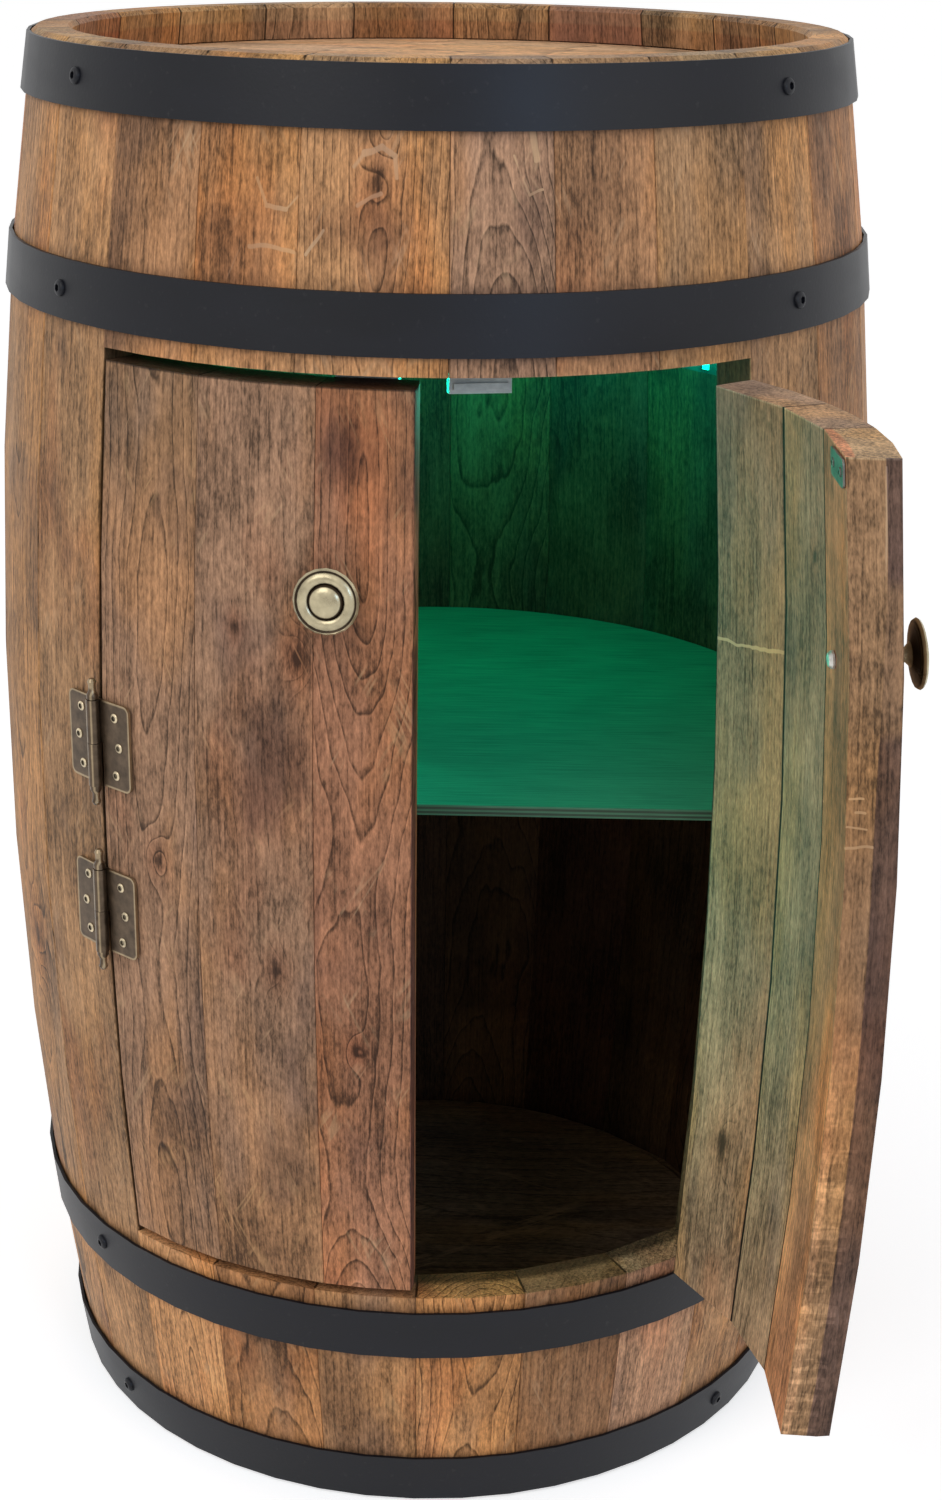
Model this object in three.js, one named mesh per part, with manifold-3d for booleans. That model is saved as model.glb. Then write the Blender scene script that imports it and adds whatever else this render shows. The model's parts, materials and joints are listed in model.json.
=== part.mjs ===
import * as THREE from 'three';
import { mergeVertices } from 'three/addons/utils/BufferGeometryUtils.js';
import Module from 'manifold-3d';

// Barrel bar cabinet: coopered staves in four steel hoops, two doors cut from the staves.
// Millimetres, +Z up, origin on the floor under the middle of the barrel, doors towards -Y.
// Angles on the barrel run from the front, towards +X.

const wasm = await Module();
wasm.setup();

// Barrel
const barrelHeight = 800;
const bellyRadius = 253;
const endRadius = 221;
const staveThickness = 24;
const chimeThickness = 21.5;
const chimeChamfer = 2.5;
const staveSeam = 0.3;
const staveEaseDepth = 0.35;
const staveEaseWidth = 0.8;
const staveFacetDegrees = 7.5;
const bowStep = 115;

// Opening for the doors
const openingInset = 145.5;
const openingHalfDegrees = 42.6;

// Widths of the staves, as shares of their own row
const besideStaveShares = [
  0.83, 1.02, 1.06, 0.98, 1.08, 0.95, 1.05, 1.0,
  1.04, 0.97, 1.07, 0.96, 1.09, 1.0, 1.05, 0.83,
];
const upperStaveShares = [1.0, 0.95, 1.27, 0.88, 0.92, 0.98];
const lowerStaveShares = [0.98, 1.06, 0.96, 1.02, 1.03, 0.95];
const leftDoorStaveShares = [1.08, 1.06, 0.86];
const rightDoorStaveShares = [1.07, 0.87, 1.05];

// Heads, let into a groove in the staves
const headRecess = 21;
const headThickness = 18;
const headEdgeThickness = 8;
const headBevel = 12;
const headFaceBevel = 1.5;
const headFaceClearance = 1;
const grooveDepth = 5;
const headSegments = 42;

// Hoops
const hoopWidth = 30;
const hoopThickness = 1.8;
const endHoopInset = 2;
const middleHoopInset = 106;
const hoopLap = 44;
const hoopLapRamp = 22;
const hoopFacetDegrees = 7.2;

// Doors
const doorTopGap = 6;
const doorBottomGap = 5.5;
const doorSideGap = 2.5;
const doorMeetingGap = 3;
const doorBevelDepth = 6.5;
const doorBevelWidth = 1.5;
const rightDoorRestDegrees = 86;

// Hinges, two for each door, a pinned knuckle between two leaves
const hingeSpacing = 96;
const leafHeight = 48;
const leafWidth = 25;
const leafThickness = 1.6;
const leafCornerRadius = 4;
const knuckleRadius = 3.6;
const knucklePinRadius = 1.8;
const finialHeight = 11.5;
const finialCollarRadius = 3.1;
const finialNeckRadius = 1.9;
const finialBallRadius = 2.5;
const finialBallDegrees = [-40, 10, 55];
const hingeSegments = 10;
const cornerSegments = 4;

// Shelf and its cleats
const shelfAboveMiddle = 0;
const shelfThickness = 6;
const shelfFrontDistance = 148;
const shelfSegments = 36;
const cleatHeight = 20;
const cleatEndThickness = 10;
const cleatHalfDegrees = 20;
const cleatMiddleDegrees = 95;
const cleatSegments = 8;

// Light strip, round the inside of the upper room
const stripHeight = 10;
const stripThickness = 3;
const stripBelowOpening = 66.5;
const stripEndDegrees = 80;
const stripFacetDegrees = 8;

// Knobs and the screws that hold them
const knobBelowDoorTop = 101.5;
const knobDegrees = 9.9;
const knobDiscRadius = 16.8;
const knobReach = 16.5;
const knobStemShare = 0.42;
const knobFaceShares = [
  [0.36, 0.56], [0.72, 0.66], [0.96, 0.72], [1, 0.8], [0.95, 0.86], [0.88, 0.83], [0.82, 0.88],
  [0.7, 0.93], [0.58, 0.88], [0.53, 0.84], [0.48, 0.92], [0.3, 0.98],
];
const knobStemRadius = 3.6;
const knobSegments = 20;
const knobScrewRadius = 2;
const knobScrewClearance = 0.5;
const knobThreadDepth = 7;
const knobScrewHeadRadius = 4.5;
const knobScrewHeadHeight = 2.6;
const knobScrewCrownShare = 0.7;
const knobScrewRimShare = 0.4;
const knobScrewSegments = 10;

// Magnetic catches and their strike plates
const catchDegrees = 7.6;
const catchWidth = 31;
const catchDepth = 14;
const catchDrop = 13;
const catchRise = 14;
const poleWidth = 27;
const poleHeight = 3;
const poleSpacing = 5.5;
const poleReach = 2.2;
const strikeWidth = 30;
const strikeHeight = 13;
const strikeThickness = 1;
const strikeCornerRadius = 2.5;
const strikeBelowDoorTop = 1.5;
const strikeFromEdge = 3;

// Clearances shared by pieces that touch
const seatGap = 0.3;
const runningGap = 0.3;
const leafNotchGap = 0.9;
const catchGap = 0.9;
const cutOverrun = 5;
const weldTolerance = 0.0001;

const openingBottom = openingInset;
const openingTop = barrelHeight - openingInset;
const middleHeight = barrelHeight / 2;
const doorBottom = openingBottom + doorBottomGap;
const doorTop = openingTop - doorTopGap;
const knobHeight = doorTop - knobBelowDoorTop;
const shelfTop = middleHeight + shelfAboveMiddle;
const stripMiddle = openingTop - stripBelowOpening;
const openingHalfAngle = THREE.MathUtils.degToRad(openingHalfDegrees);
const fullTurn = 2 * Math.PI;

function materialOf(color, roughness, metalness) {
  return new THREE.MeshStandardMaterial({ color, roughness, metalness });
}

const woodMaterial = materialOf(0x7a5233, 0.62, 0);
const lidMaterial = materialOf(0xa06c40, 0.6, 0);
const shelfMaterial = materialOf(0x6d5138, 0.7, 0);
const hoopMaterial = materialOf(0x24262b, 0.45, 0.6);
const bronzeMaterial = materialOf(0x4a3f30, 0.45, 0.85);
const brassMaterial = materialOf(0xb09c6c, 0.32, 0.9);
const steelMaterial = materialOf(0xb9bcbd, 0.35, 0.9);
const catchMaterial = materialOf(0xc9cdc6, 0.5, 0);
const stripMaterial = materialOf(0x29e08c, 0.4, 0);

// The bow of the barrel

function barrelRadius(z) {
  const share = (z - middleHeight) / middleHeight;
  return bellyRadius - (bellyRadius - endRadius) * share * share;
}

function barrelSlope(z) {
  return -2 * (bellyRadius - endRadius) * (z - middleHeight) / (middleHeight * middleHeight);
}

// Distance from the axis to the flat inner face of a stave, which meets its neighbours at full thickness
function innerFlat(z, halfAngle) {
  return (barrelRadius(z) - staveThickness) * Math.cos(halfAngle);
}

function outwardAt(angle) {
  return new THREE.Vector3(Math.sin(angle), -Math.cos(angle), 0);
}

function alongAt(angle) {
  return new THREE.Vector3(Math.cos(angle), Math.sin(angle), 0);
}

// Frame on the barrel: x along the turn, y up the wall, z outward
function wallFrame(position, normalAngle, slope) {
  const tilt = Math.atan(-slope);
  const outward = outwardAt(normalAngle).multiplyScalar(Math.cos(tilt));
  outward.z = Math.sin(tilt);
  const along = alongAt(normalAngle);
  const up = outward.clone().cross(along);
  return new THREE.Matrix4().makeBasis(along, up, outward).setPosition(position);
}

// Solids

function toSolid(geometry) {
  const bare = geometry.clone();
  bare.deleteAttribute('normal');
  bare.deleteAttribute('uv');
  const merged = mergeVertices(bare, weldTolerance);
  const index = merged.index.array;
  const kept = [];
  for (let i = 0; i < index.length; i += 3) {
    const [a, b, c] = [index[i], index[i + 1], index[i + 2]];
    if (a !== b && b !== c && c !== a) kept.push(a, b, c);
  }
  return new wasm.Manifold(new wasm.Mesh({
    numProp: 3,
    vertProperties: new Float32Array(merged.attributes.position.array),
    triVerts: new Uint32Array(kept),
  }));
}

function toGeometry(solid) {
  const { vertProperties, triVerts } = solid.getMesh();
  const geometry = new THREE.BufferGeometry();
  geometry.setAttribute('position', new THREE.BufferAttribute(new Float32Array(vertProperties), 3));
  geometry.setIndex(new THREE.BufferAttribute(new Uint32Array(triVerts), 1));
  geometry.computeVertexNormals();
  return geometry;
}

function indexedGeometry(positions, triangles) {
  const geometry = new THREE.BufferGeometry();
  geometry.setAttribute('position', new THREE.Float32BufferAttribute(positions, 3));
  geometry.setIndex(triangles);
  if (signedVolume(geometry) < 0) flipFaces(geometry);
  geometry.computeVertexNormals();
  return geometry;
}

function signedVolume(geometry) {
  const [a, b, c] = [new THREE.Vector3(), new THREE.Vector3(), new THREE.Vector3()];
  const { position } = geometry.attributes;
  const index = geometry.index.array;
  let sum = 0;
  for (let i = 0; i < index.length; i += 3) {
    a.fromBufferAttribute(position, index[i]);
    b.fromBufferAttribute(position, index[i + 1]);
    c.fromBufferAttribute(position, index[i + 2]);
    sum += a.dot(b.cross(c));
  }
  return sum;
}

function flipFaces(geometry) {
  const index = geometry.index.array;
  for (let i = 0; i < index.length; i += 3) {
    [index[i + 1], index[i + 2]] = [index[i + 2], index[i + 1]];
  }
}

function mirrored(geometry) {
  const copy = geometry.index ? geometry.clone() : mergeVertices(geometry.clone());
  copy.scale(-1, 1, 1);
  flipFaces(copy);
  copy.computeVertexNormals();
  return copy;
}

// Revolve an outline of [radius, height] points about Z
function revolve(points, segments) {
  const profile = points.map(([radius, height]) => new THREE.Vector2(radius, height));
  return new THREE.LatheGeometry(profile, segments).rotateX(Math.PI / 2);
}

// Sweep outlines of [radius, height] round the barrel, each shifted along the turn by its own amount
function sweepStations(stations) {
  const count = stations[0].outline.length;
  const positions = [];
  const triangles = [];
  for (const { angle, shift, outline } of stations) {
    const outward = outwardAt(angle);
    const along = alongAt(angle);
    for (const [radius, z] of outline) {
      positions.push(radius * outward.x + shift * along.x, radius * outward.y + shift * along.y, z);
    }
  }
  for (let s = 0; s < stations.length - 1; s += 1) {
    for (let i = 0; i < count; i += 1) {
      const a = s * count + i;
      const b = s * count + (i + 1) % count;
      triangles.push(a, b, b + count, a, b + count, a + count);
    }
  }
  const ends = [stations[0].outline, stations[stations.length - 1].outline];
  ends.forEach((outline, end) => {
    const flat = outline.map(([radius, z]) => new THREE.Vector2(radius, z));
    const first = end === 0 ? 0 : (stations.length - 1) * count;
    for (const [a, b, c] of THREE.ShapeUtils.triangulateShape(flat, [])) {
      if (end === 0) triangles.push(first + a, first + c, first + b);
      else triangles.push(first + a, first + b, first + c);
    }
  });
  return indexedGeometry(positions, triangles);
}

// Heights between two ends of a bowed edge, the ends left out
function bowHeights(low, high) {
  const steps = Math.max(1, Math.ceil((high - low) / bowStep));
  return Array.from({ length: steps - 1 }, (_, i) => low + (high - low) * (i + 1) / steps);
}

function bowedHeights(low, high) {
  return [low, ...bowHeights(low, high), high];
}

// Staves

const headTop = barrelHeight - headRecess;
const grooveTop = headTop + seatGap;
const grooveBottom = headTop - headEdgeThickness - seatGap;
const grooveRadius = barrelRadius(headTop) - chimeThickness + grooveDepth;

// A stave's half outline at a chime: outer points going up, then inner points coming down
function chimeOuter(drop) {
  return [
    [barrelRadius(barrelHeight - chimeChamfer) - drop, barrelHeight - chimeChamfer],
    [barrelRadius(barrelHeight) - chimeChamfer - drop, barrelHeight],
  ];
}

function chimeInner(innerAt) {
  const inside = (z) => barrelRadius(z) - chimeThickness;
  return [
    [inside(barrelHeight) + chimeChamfer, barrelHeight],
    [inside(barrelHeight - chimeChamfer), barrelHeight - chimeChamfer],
    [inside(grooveTop), grooveTop],
    [grooveRadius, grooveTop],
    [grooveRadius, grooveBottom],
    [innerAt(grooveBottom), grooveBottom],
  ];
}

function upsideDown(points) {
  return points.map(([radius, z]) => [radius, barrelHeight - z]).reverse();
}

function fullOutline(drop, innerAt) {
  const outer = bowHeights(chimeChamfer, barrelHeight - chimeChamfer);
  const inner = bowHeights(barrelHeight - grooveBottom, grooveBottom).reverse();
  return [
    ...upsideDown(chimeOuter(drop)),
    ...outer.map((z) => [barrelRadius(z) - drop, z]),
    ...chimeOuter(drop),
    ...chimeInner(innerAt),
    ...inner.map((z) => [innerAt(z), z]),
    ...upsideDown(chimeInner(innerAt)),
  ];
}

function upperOutline(drop, innerAt) {
  const outer = bowHeights(openingTop, barrelHeight - chimeChamfer);
  const inner = bowHeights(openingTop, grooveBottom).reverse();
  return [
    [barrelRadius(openingTop) - drop, openingTop],
    ...outer.map((z) => [barrelRadius(z) - drop, z]),
    ...chimeOuter(drop),
    ...chimeInner(innerAt),
    ...inner.map((z) => [innerAt(z), z]),
    [innerAt(openingTop), openingTop],
  ];
}

function lowerOutline(drop, innerAt) {
  return upsideDown(upperOutline(drop, innerAt));
}

function doorOutline(drop, innerAt) {
  const heights = bowedHeights(doorBottom, doorTop);
  return [
    ...heights.map((z) => [barrelRadius(z) - drop, z]),
    ...heights.reverse().map((z) => [innerAt(z), z]),
  ];
}

const seamEdge = { shift: staveSeam / 2, drop: staveEaseDepth, ease: staveEaseWidth };
const hingeEdge = { shift: doorSideGap, drop: staveEaseDepth, ease: staveEaseWidth };
const freeEdge = { shift: doorMeetingGap / 2, drop: doorBevelDepth, ease: doorBevelWidth };

// Angles of the corners on a stave's round outer face, between its eased edges
function roundAngles({ from, to, fromEdge = seamEdge, toEdge = seamEdge }) {
  const start = from + (fromEdge.shift + fromEdge.ease) / bellyRadius;
  const end = to - (toEdge.shift + toEdge.ease) / bellyRadius;
  const facets = Math.ceil(THREE.MathUtils.radToDeg(end - start) / staveFacetDegrees);
  return Array.from({ length: facets + 1 }, (_, i) => start + (end - start) * i / facets);
}

// One stave between two angles; its edges are flat, its outer face round and its inner face flat
function staveGeometry(outlineOf, stave) {
  const { from, to, fromEdge = seamEdge, toEdge = seamEdge } = stave;
  const middle = (from + to) / 2;
  const halfAngle = (to - from) / 2;
  const places = [
    { angle: from, shift: fromEdge.shift, drop: fromEdge.drop },
    ...roundAngles(stave).map((angle) => ({ angle, shift: 0, drop: 0 })),
    { angle: to, shift: -toEdge.shift, drop: toEdge.drop },
  ];
  return sweepStations(places.map(({ angle, shift, drop }) => {
    const away = angle - middle;
    const innerAt = (z) => (innerFlat(z, halfAngle) + shift * Math.sin(away)) / Math.cos(away);
    return { angle, shift, outline: outlineOf(drop, innerAt) };
  }));
}

// Share out a span of angle among a row of staves
function staveRow(shares, from, to) {
  const total = shares.reduce((sum, share) => sum + share, 0);
  let at = from;
  return shares.map((share) => {
    const start = at;
    at += (to - from) * share / total;
    return { from: start, to: at };
  });
}

const besideRow = staveRow(besideStaveShares, openingHalfAngle, fullTurn - openingHalfAngle);
const upperRow = staveRow(upperStaveShares, -openingHalfAngle, openingHalfAngle);
const lowerRow = staveRow(lowerStaveShares, -openingHalfAngle, openingHalfAngle);
const leftDoorRow = staveRow(leftDoorStaveShares, -openingHalfAngle, 0);
const rightDoorRow = staveRow(rightDoorStaveShares.toReversed(), 0, openingHalfAngle);
const widestHalfAngle = Math.max(...besideRow.map(({ from, to }) => (to - from) / 2));

// Largest circle that fits inside the flat inner faces at a height, clear of the chords of their bow
function roomRadius(z) {
  const stepShare = bowStep / barrelHeight;
  const bowSag = (bellyRadius - endRadius) * stepShare * stepShare;
  return innerFlat(z, widestHalfAngle) - bowSag - seatGap;
}

// Heads and hoops

function headGeometry() {
  const facet = THREE.MathUtils.degToRad(staveFacetDegrees);
  const radius = grooveRadius * Math.cos(facet / 2) - seatGap;
  const insideStaves = roomRadius(grooveBottom);
  const insideChime = (barrelRadius(barrelHeight) - chimeThickness) * Math.cos(facet / 2);
  return revolve([
    [0, headTop - headThickness],
    [insideStaves - headBevel, headTop - headThickness],
    [insideStaves, headTop - headEdgeThickness],
    [radius, headTop - headEdgeThickness],
    [radius, headTop - headFaceBevel],
    [insideChime - headFaceClearance, headTop],
    [0, headTop],
  ], headSegments);
}

function turnedOver(geometry) {
  return geometry.rotateX(Math.PI).translate(0, 0, barrelHeight);
}

// A flat steel band, its ends lapped at the back of the barrel
function hoopGeometry(bottom) {
  const top = bottom + hoopWidth;
  const facet = THREE.MathUtils.degToRad(hoopFacetDegrees);
  const lap = hoopLap / bellyRadius;
  const ramp = hoopLapRamp / bellyRadius;
  const first = Math.PI - lap / 2;
  const rise = hoopThickness + seatGap;
  const stepCount = Math.round(fullTurn / facet);
  const turn = Array.from({ length: stepCount + 1 }, (_, i) => (fullTurn - ramp) * i / stepCount);
  const lapped = [fullTurn, fullTurn + lap / 2, fullTurn + lap];
  const inside = (z, lift) => (barrelRadius(z) + seatGap) / Math.cos(facet / 2) + lift;
  return sweepStations([...turn, ...lapped].map((turned) => {
    const lift = turned < fullTurn ? 0 : rise;
    return {
      angle: first + turned,
      shift: 0,
      outline: [
        [inside(bottom, lift), bottom],
        [inside(bottom, lift) + hoopThickness, bottom],
        [inside(top, lift) + hoopThickness, top],
        [inside(top, lift), top],
      ],
    };
  }));
}

// Shelf, cleats and light strip

function shelfGeometry() {
  const radius = roomRadius(shelfTop - shelfThickness);
  const frontAngle = Math.acos(shelfFrontDistance / radius);
  const outline = new THREE.Shape();
  outline.absarc(0, 0, radius, frontAngle - Math.PI / 2, fullTurn - frontAngle - Math.PI / 2, false);
  outline.closePath();
  const board = new THREE.ExtrudeGeometry(outline, {
    depth: shelfThickness,
    bevelEnabled: false,
    curveSegments: shelfSegments,
  });
  return board.translate(0, 0, shelfTop - shelfThickness);
}

function cleatGeometry(side) {
  const top = shelfTop - shelfThickness - seatGap;
  const radius = roomRadius(top - cleatHeight);
  const half = THREE.MathUtils.degToRad(cleatHalfDegrees);
  const middle = side * THREE.MathUtils.degToRad(cleatMiddleDegrees) - Math.PI / 2;
  const inner = radius * Math.cos(half) - cleatEndThickness;
  const slant = Math.atan2(radius * Math.sin(half), inner);
  const reach = Math.hypot(radius * Math.sin(half), inner);
  const outline = new THREE.Shape();
  outline.absarc(0, 0, radius, middle - half, middle + half, false);
  outline.lineTo(reach * Math.cos(middle + slant), reach * Math.sin(middle + slant));
  outline.lineTo(reach * Math.cos(middle - slant), reach * Math.sin(middle - slant));
  outline.closePath();
  const batten = new THREE.ExtrudeGeometry(outline, {
    depth: cleatHeight,
    bevelEnabled: false,
    curveSegments: cleatSegments,
  });
  return batten.translate(0, 0, top - cleatHeight);
}

function stripGeometry() {
  const low = stripMiddle - stripHeight / 2;
  const high = stripMiddle + stripHeight / 2;
  const outer = roomRadius(high);
  const start = THREE.MathUtils.degToRad(stripEndDegrees);
  const span = fullTurn - 2 * start;
  const facets = Math.round(THREE.MathUtils.radToDeg(span) / stripFacetDegrees);
  const outline = [
    [outer - stripThickness, low],
    [outer, low],
    [outer, high],
    [outer - stripThickness, high],
  ];
  return sweepStations(Array.from({ length: facets + 1 }, (_, i) => {
    return { angle: start + span * i / facets, shift: 0, outline };
  }));
}

// Hinges, drawn for the right-hand door in the frame of their own leaf: x away from the pin, z outward

const hingeAxisRadius = bellyRadius + knuckleRadius + seatGap;
const hingeAxis = outwardAt(openingHalfAngle).multiplyScalar(hingeAxisRadius)
  .addScaledVector(alongAt(openingHalfAngle), -doorSideGap / 2);
const leafLean = Math.atan2(leafWidth / 2, hingeAxisRadius);
const hingeHeights = {
  upper: middleHeight + hingeSpacing / 2,
  lower: middleHeight - hingeSpacing / 2,
};

function standingCylinder(radius, low, high, segments) {
  const column = new THREE.CylinderGeometry(radius, radius, high - low, segments);
  return toSolid(column.translate(0, (low + high) / 2, 0));
}

function finialGeometry() {
  const sink = -runningGap;
  const neckAt = finialHeight - 2 * finialBallRadius;
  const collarTop = neckAt - finialNeckRadius;
  const ball = finialBallDegrees.map((degrees) => {
    const angle = THREE.MathUtils.degToRad(degrees);
    const centre = finialHeight - finialBallRadius;
    return [finialBallRadius * Math.cos(angle), centre + finialBallRadius * Math.sin(angle)];
  });
  return revolve([
    [0, sink],
    [knucklePinRadius, sink],
    [knucklePinRadius, 0],
    [finialCollarRadius, 0],
    [finialCollarRadius, collarTop / 2],
    [finialNeckRadius, collarTop],
    ...ball,
    [0, finialHeight],
  ], hingeSegments).rotateX(-Math.PI / 2);
}

// Outermost distance of a stave's faceted face from the axis, seen along a leaf's normal
function leafSeat(stave, normalAngle, heights) {
  const near = heights.filter((z, i) => {
    const before = heights[Math.max(0, i - 1)];
    const after = heights[Math.min(heights.length - 1, i + 1)];
    return after > hingeHeights.upper - leafHeight / 2 && before < hingeHeights.upper + leafHeight / 2;
  });
  const radius = Math.max(...near.map(barrelRadius));
  return Math.max(...roundAngles(stave).map((angle) => radius * Math.cos(angle - normalAngle)));
}

// Flat of a leaf with rounded outer corners, cut back where the other leaf has its knuckle
function leafPlate(seat, lean, ownSide) {
  const half = leafHeight / 2;
  const throughFlat = hingeAxisRadius * Math.cos(leafLean) + lean * Math.sin(leafLean) * doorSideGap / 2;
  const back = seat + seatGap - throughFlat;
  const notch = knuckleRadius + leafNotchGap;
  const [low, high] = ownSide > 0 ? [runningGap / 2, half] : [-half, -runningGap / 2];
  const plate = new THREE.Shape();
  plate.moveTo(notch, ownSide > 0 ? -half : half);
  plate.lineTo(notch, ownSide > 0 ? low : high);
  plate.lineTo(0, ownSide > 0 ? low : high);
  plate.lineTo(0, ownSide * half);
  plate.lineTo(leafWidth - leafCornerRadius, ownSide * half);
  plate.absarc(leafWidth - leafCornerRadius, ownSide * (half - leafCornerRadius), leafCornerRadius,
    ownSide * Math.PI / 2, 0, ownSide > 0);
  plate.absarc(leafWidth - leafCornerRadius, -ownSide * (half - leafCornerRadius), leafCornerRadius,
    0, -ownSide * Math.PI / 2, ownSide > 0);
  plate.closePath();
  const sheet = new THREE.ExtrudeGeometry(plate, {
    depth: leafThickness,
    bevelEnabled: false,
    curveSegments: cornerSegments,
  });
  return toSolid(sheet.translate(0, 0, back));
}

// The frame leaf has the lower knuckle and the pin with its finials, fixed in that knuckle
function frameLeafSolid() {
  const finial = finialGeometry();
  const top = toSolid(finial.clone().translate(0, leafHeight / 2 + runningGap, 0));
  const bottom = toSolid(finial.clone().rotateX(Math.PI).translate(0, -leafHeight / 2, 0));
  const knuckle = standingCylinder(knuckleRadius, -leafHeight / 2, -runningGap / 2, hingeSegments);
  const pinTop = leafHeight / 2 + runningGap;
  const pin = standingCylinder(knucklePinRadius, -leafHeight / 2, pinTop, hingeSegments);
  const staveTop = barrelHeight - chimeChamfer;
  const heights = bowedHeights(chimeChamfer, staveTop);
  const seat = leafSeat(besideRow[0], openingHalfAngle + leafLean, heights);
  return leafPlate(seat, -1, -1).add(knuckle).add(pin).add(top).add(bottom);
}

// The door leaf has the upper knuckle, bored to turn on the pin
function doorLeafSolid() {
  const knuckle = standingCylinder(knuckleRadius, runningGap / 2, leafHeight / 2, hingeSegments);
  const facet = Math.PI / hingeSegments;
  const boreRadius = (knucklePinRadius + runningGap) / Math.cos(facet);
  const bore = standingCylinder(boreRadius, -leafHeight / 2, leafHeight, hingeSegments);
  const stave = { ...rightDoorRow.at(-1), toEdge: hingeEdge };
  const seat = leafSeat(stave, openingHalfAngle - leafLean, bowedHeights(doorBottom, doorTop));
  return leafPlate(seat, 1, 1).add(knuckle).subtract(bore);
}

function leafGeometry(solid, alongSide, height) {
  const position = hingeAxis.clone();
  position.z = height;
  const geometry = toGeometry(solid);
  const drawn = alongSide > 0 ? geometry : mirrored(geometry);
  return drawn.applyMatrix4(wallFrame(position, openingHalfAngle + alongSide * leafLean, 0));
}

// Knobs, drawn along the line of their screw with the door's outer face at zero

const knobAngle = THREE.MathUtils.degToRad(knobDegrees);

function knobFrame(side) {
  const position = outwardAt(side * knobAngle).multiplyScalar(barrelRadius(knobHeight));
  position.z = knobHeight;
  return wallFrame(position, side * knobAngle, barrelSlope(knobHeight));
}

function knobGeometry() {
  return revolve([
    [0, knobThreadDepth],
    [knobScrewRadius + runningGap, knobThreadDepth],
    [knobScrewRadius + runningGap, seatGap],
    [knobStemRadius, seatGap],
    [knobStemRadius, knobReach * knobStemShare],
    ...knobFaceShares.map(([across, out]) => [knobDiscRadius * across, knobReach * out]),
    [0, knobReach],
  ], knobSegments);
}

// Door thickness along the knob's screw, from the outer face to the flat inner face of its stave
function doorDepthAt(row, angle, z) {
  const stave = row.find(({ from, to }) => angle > from && angle < to);
  const middle = (stave.from + stave.to) / 2;
  const inner = innerFlat(z, (stave.to - stave.from) / 2) / Math.cos(angle - middle);
  const lean = Math.abs(Math.tan(angle - middle));
  return { depth: (barrelRadius(z) - inner) * Math.cos(Math.atan(barrelSlope(z))), lean };
}

function knobScrewGeometry(row, side) {
  const { depth, lean } = doorDepthAt(row, side * knobAngle, knobHeight);
  const underHead = -depth - seatGap - lean * knobScrewHeadRadius;
  return revolve([
    [0, underHead - knobScrewHeadHeight],
    [knobScrewHeadRadius * knobScrewCrownShare, underHead - knobScrewHeadHeight],
    [knobScrewHeadRadius, underHead - knobScrewHeadHeight * knobScrewRimShare],
    [knobScrewHeadRadius, underHead],
    [knobScrewRadius, underHead],
    [knobScrewRadius, knobThreadDepth - seatGap],
    [0, knobThreadDepth - seatGap],
  ], knobScrewSegments);
}

// The stave that carries the knob, bored for its screw
function boredStave(geometry, side) {
  const radius = knobScrewRadius + knobScrewClearance;
  const length = 2 * (staveThickness + cutOverrun);
  const drill = new THREE.CylinderGeometry(radius, radius, length, knobScrewSegments);
  drill.rotateX(Math.PI / 2).applyMatrix4(knobFrame(side));
  return toGeometry(toSolid(geometry).subtract(toSolid(drill)));
}

// Catches and strikes, drawn on an inner face with z pointing into the barrel

function innerFaceFrame(stave, angle, z, heights) {
  const middle = (stave.from + stave.to) / 2;
  const halfAngle = (stave.to - stave.from) / 2;
  const above = Math.max(1, heights.findIndex((height) => height > z));
  const [low, high] = [heights[above - 1], heights[above]];
  const slope = (innerFlat(high, halfAngle) - innerFlat(low, halfAngle)) / (high - low);
  const flat = innerFlat(low, halfAngle) + slope * (z - low);
  const position = outwardAt(middle).multiplyScalar(flat)
    .addScaledVector(alongAt(middle), flat * Math.tan(angle - middle));
  position.z = z;
  return wallFrame(position, middle, slope).multiply(new THREE.Matrix4().makeRotationY(Math.PI));
}

function staveAt(row, angle) {
  return row.find(({ from, to }) => angle > from && angle < to);
}

function innerRadiusAt(stave, angle, z) {
  const middle = (stave.from + stave.to) / 2;
  return innerFlat(z, (stave.to - stave.from) / 2) / Math.cos(angle - middle);
}

function blockSolid(width, low, high, near, far) {
  const block = new THREE.BoxGeometry(width, high - low, far - near);
  return toSolid(block.translate(0, (low + high) / 2, (near + far) / 2));
}

function catchGeometry(side, doorRow) {
  const angle = side * THREE.MathUtils.degToRad(catchDegrees);
  const stave = staveAt(upperRow, angle);
  const doorInner = innerRadiusAt(staveAt(doorRow, angle), angle, openingTop);
  const wallInner = innerRadiusAt(stave, angle, openingTop);
  const poleFace = wallInner - doorInner + seatGap + strikeThickness + catchGap;
  const face = poleFace + poleReach;
  const housing = blockSolid(catchWidth, seatGap, catchRise, seatGap, catchDepth)
    .add(blockSolid(catchWidth, -catchDrop, seatGap, face, catchDepth));
  const poleMiddle = -catchDrop / 2;
  const poles = [-1, 1].map((row) => {
    const middle = poleMiddle + row * poleSpacing / 2;
    const [low, high] = [middle - poleHeight / 2, middle + poleHeight / 2];
    return blockSolid(poleWidth, low, high, poleFace, catchDepth / 2);
  });
  const solid = poles.reduce((sum, pole) => sum.add(pole), housing);
  const heights = bowedHeights(openingTop, grooveBottom);
  return toGeometry(solid).applyMatrix4(innerFaceFrame(stave, angle, openingTop, heights));
}

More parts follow.
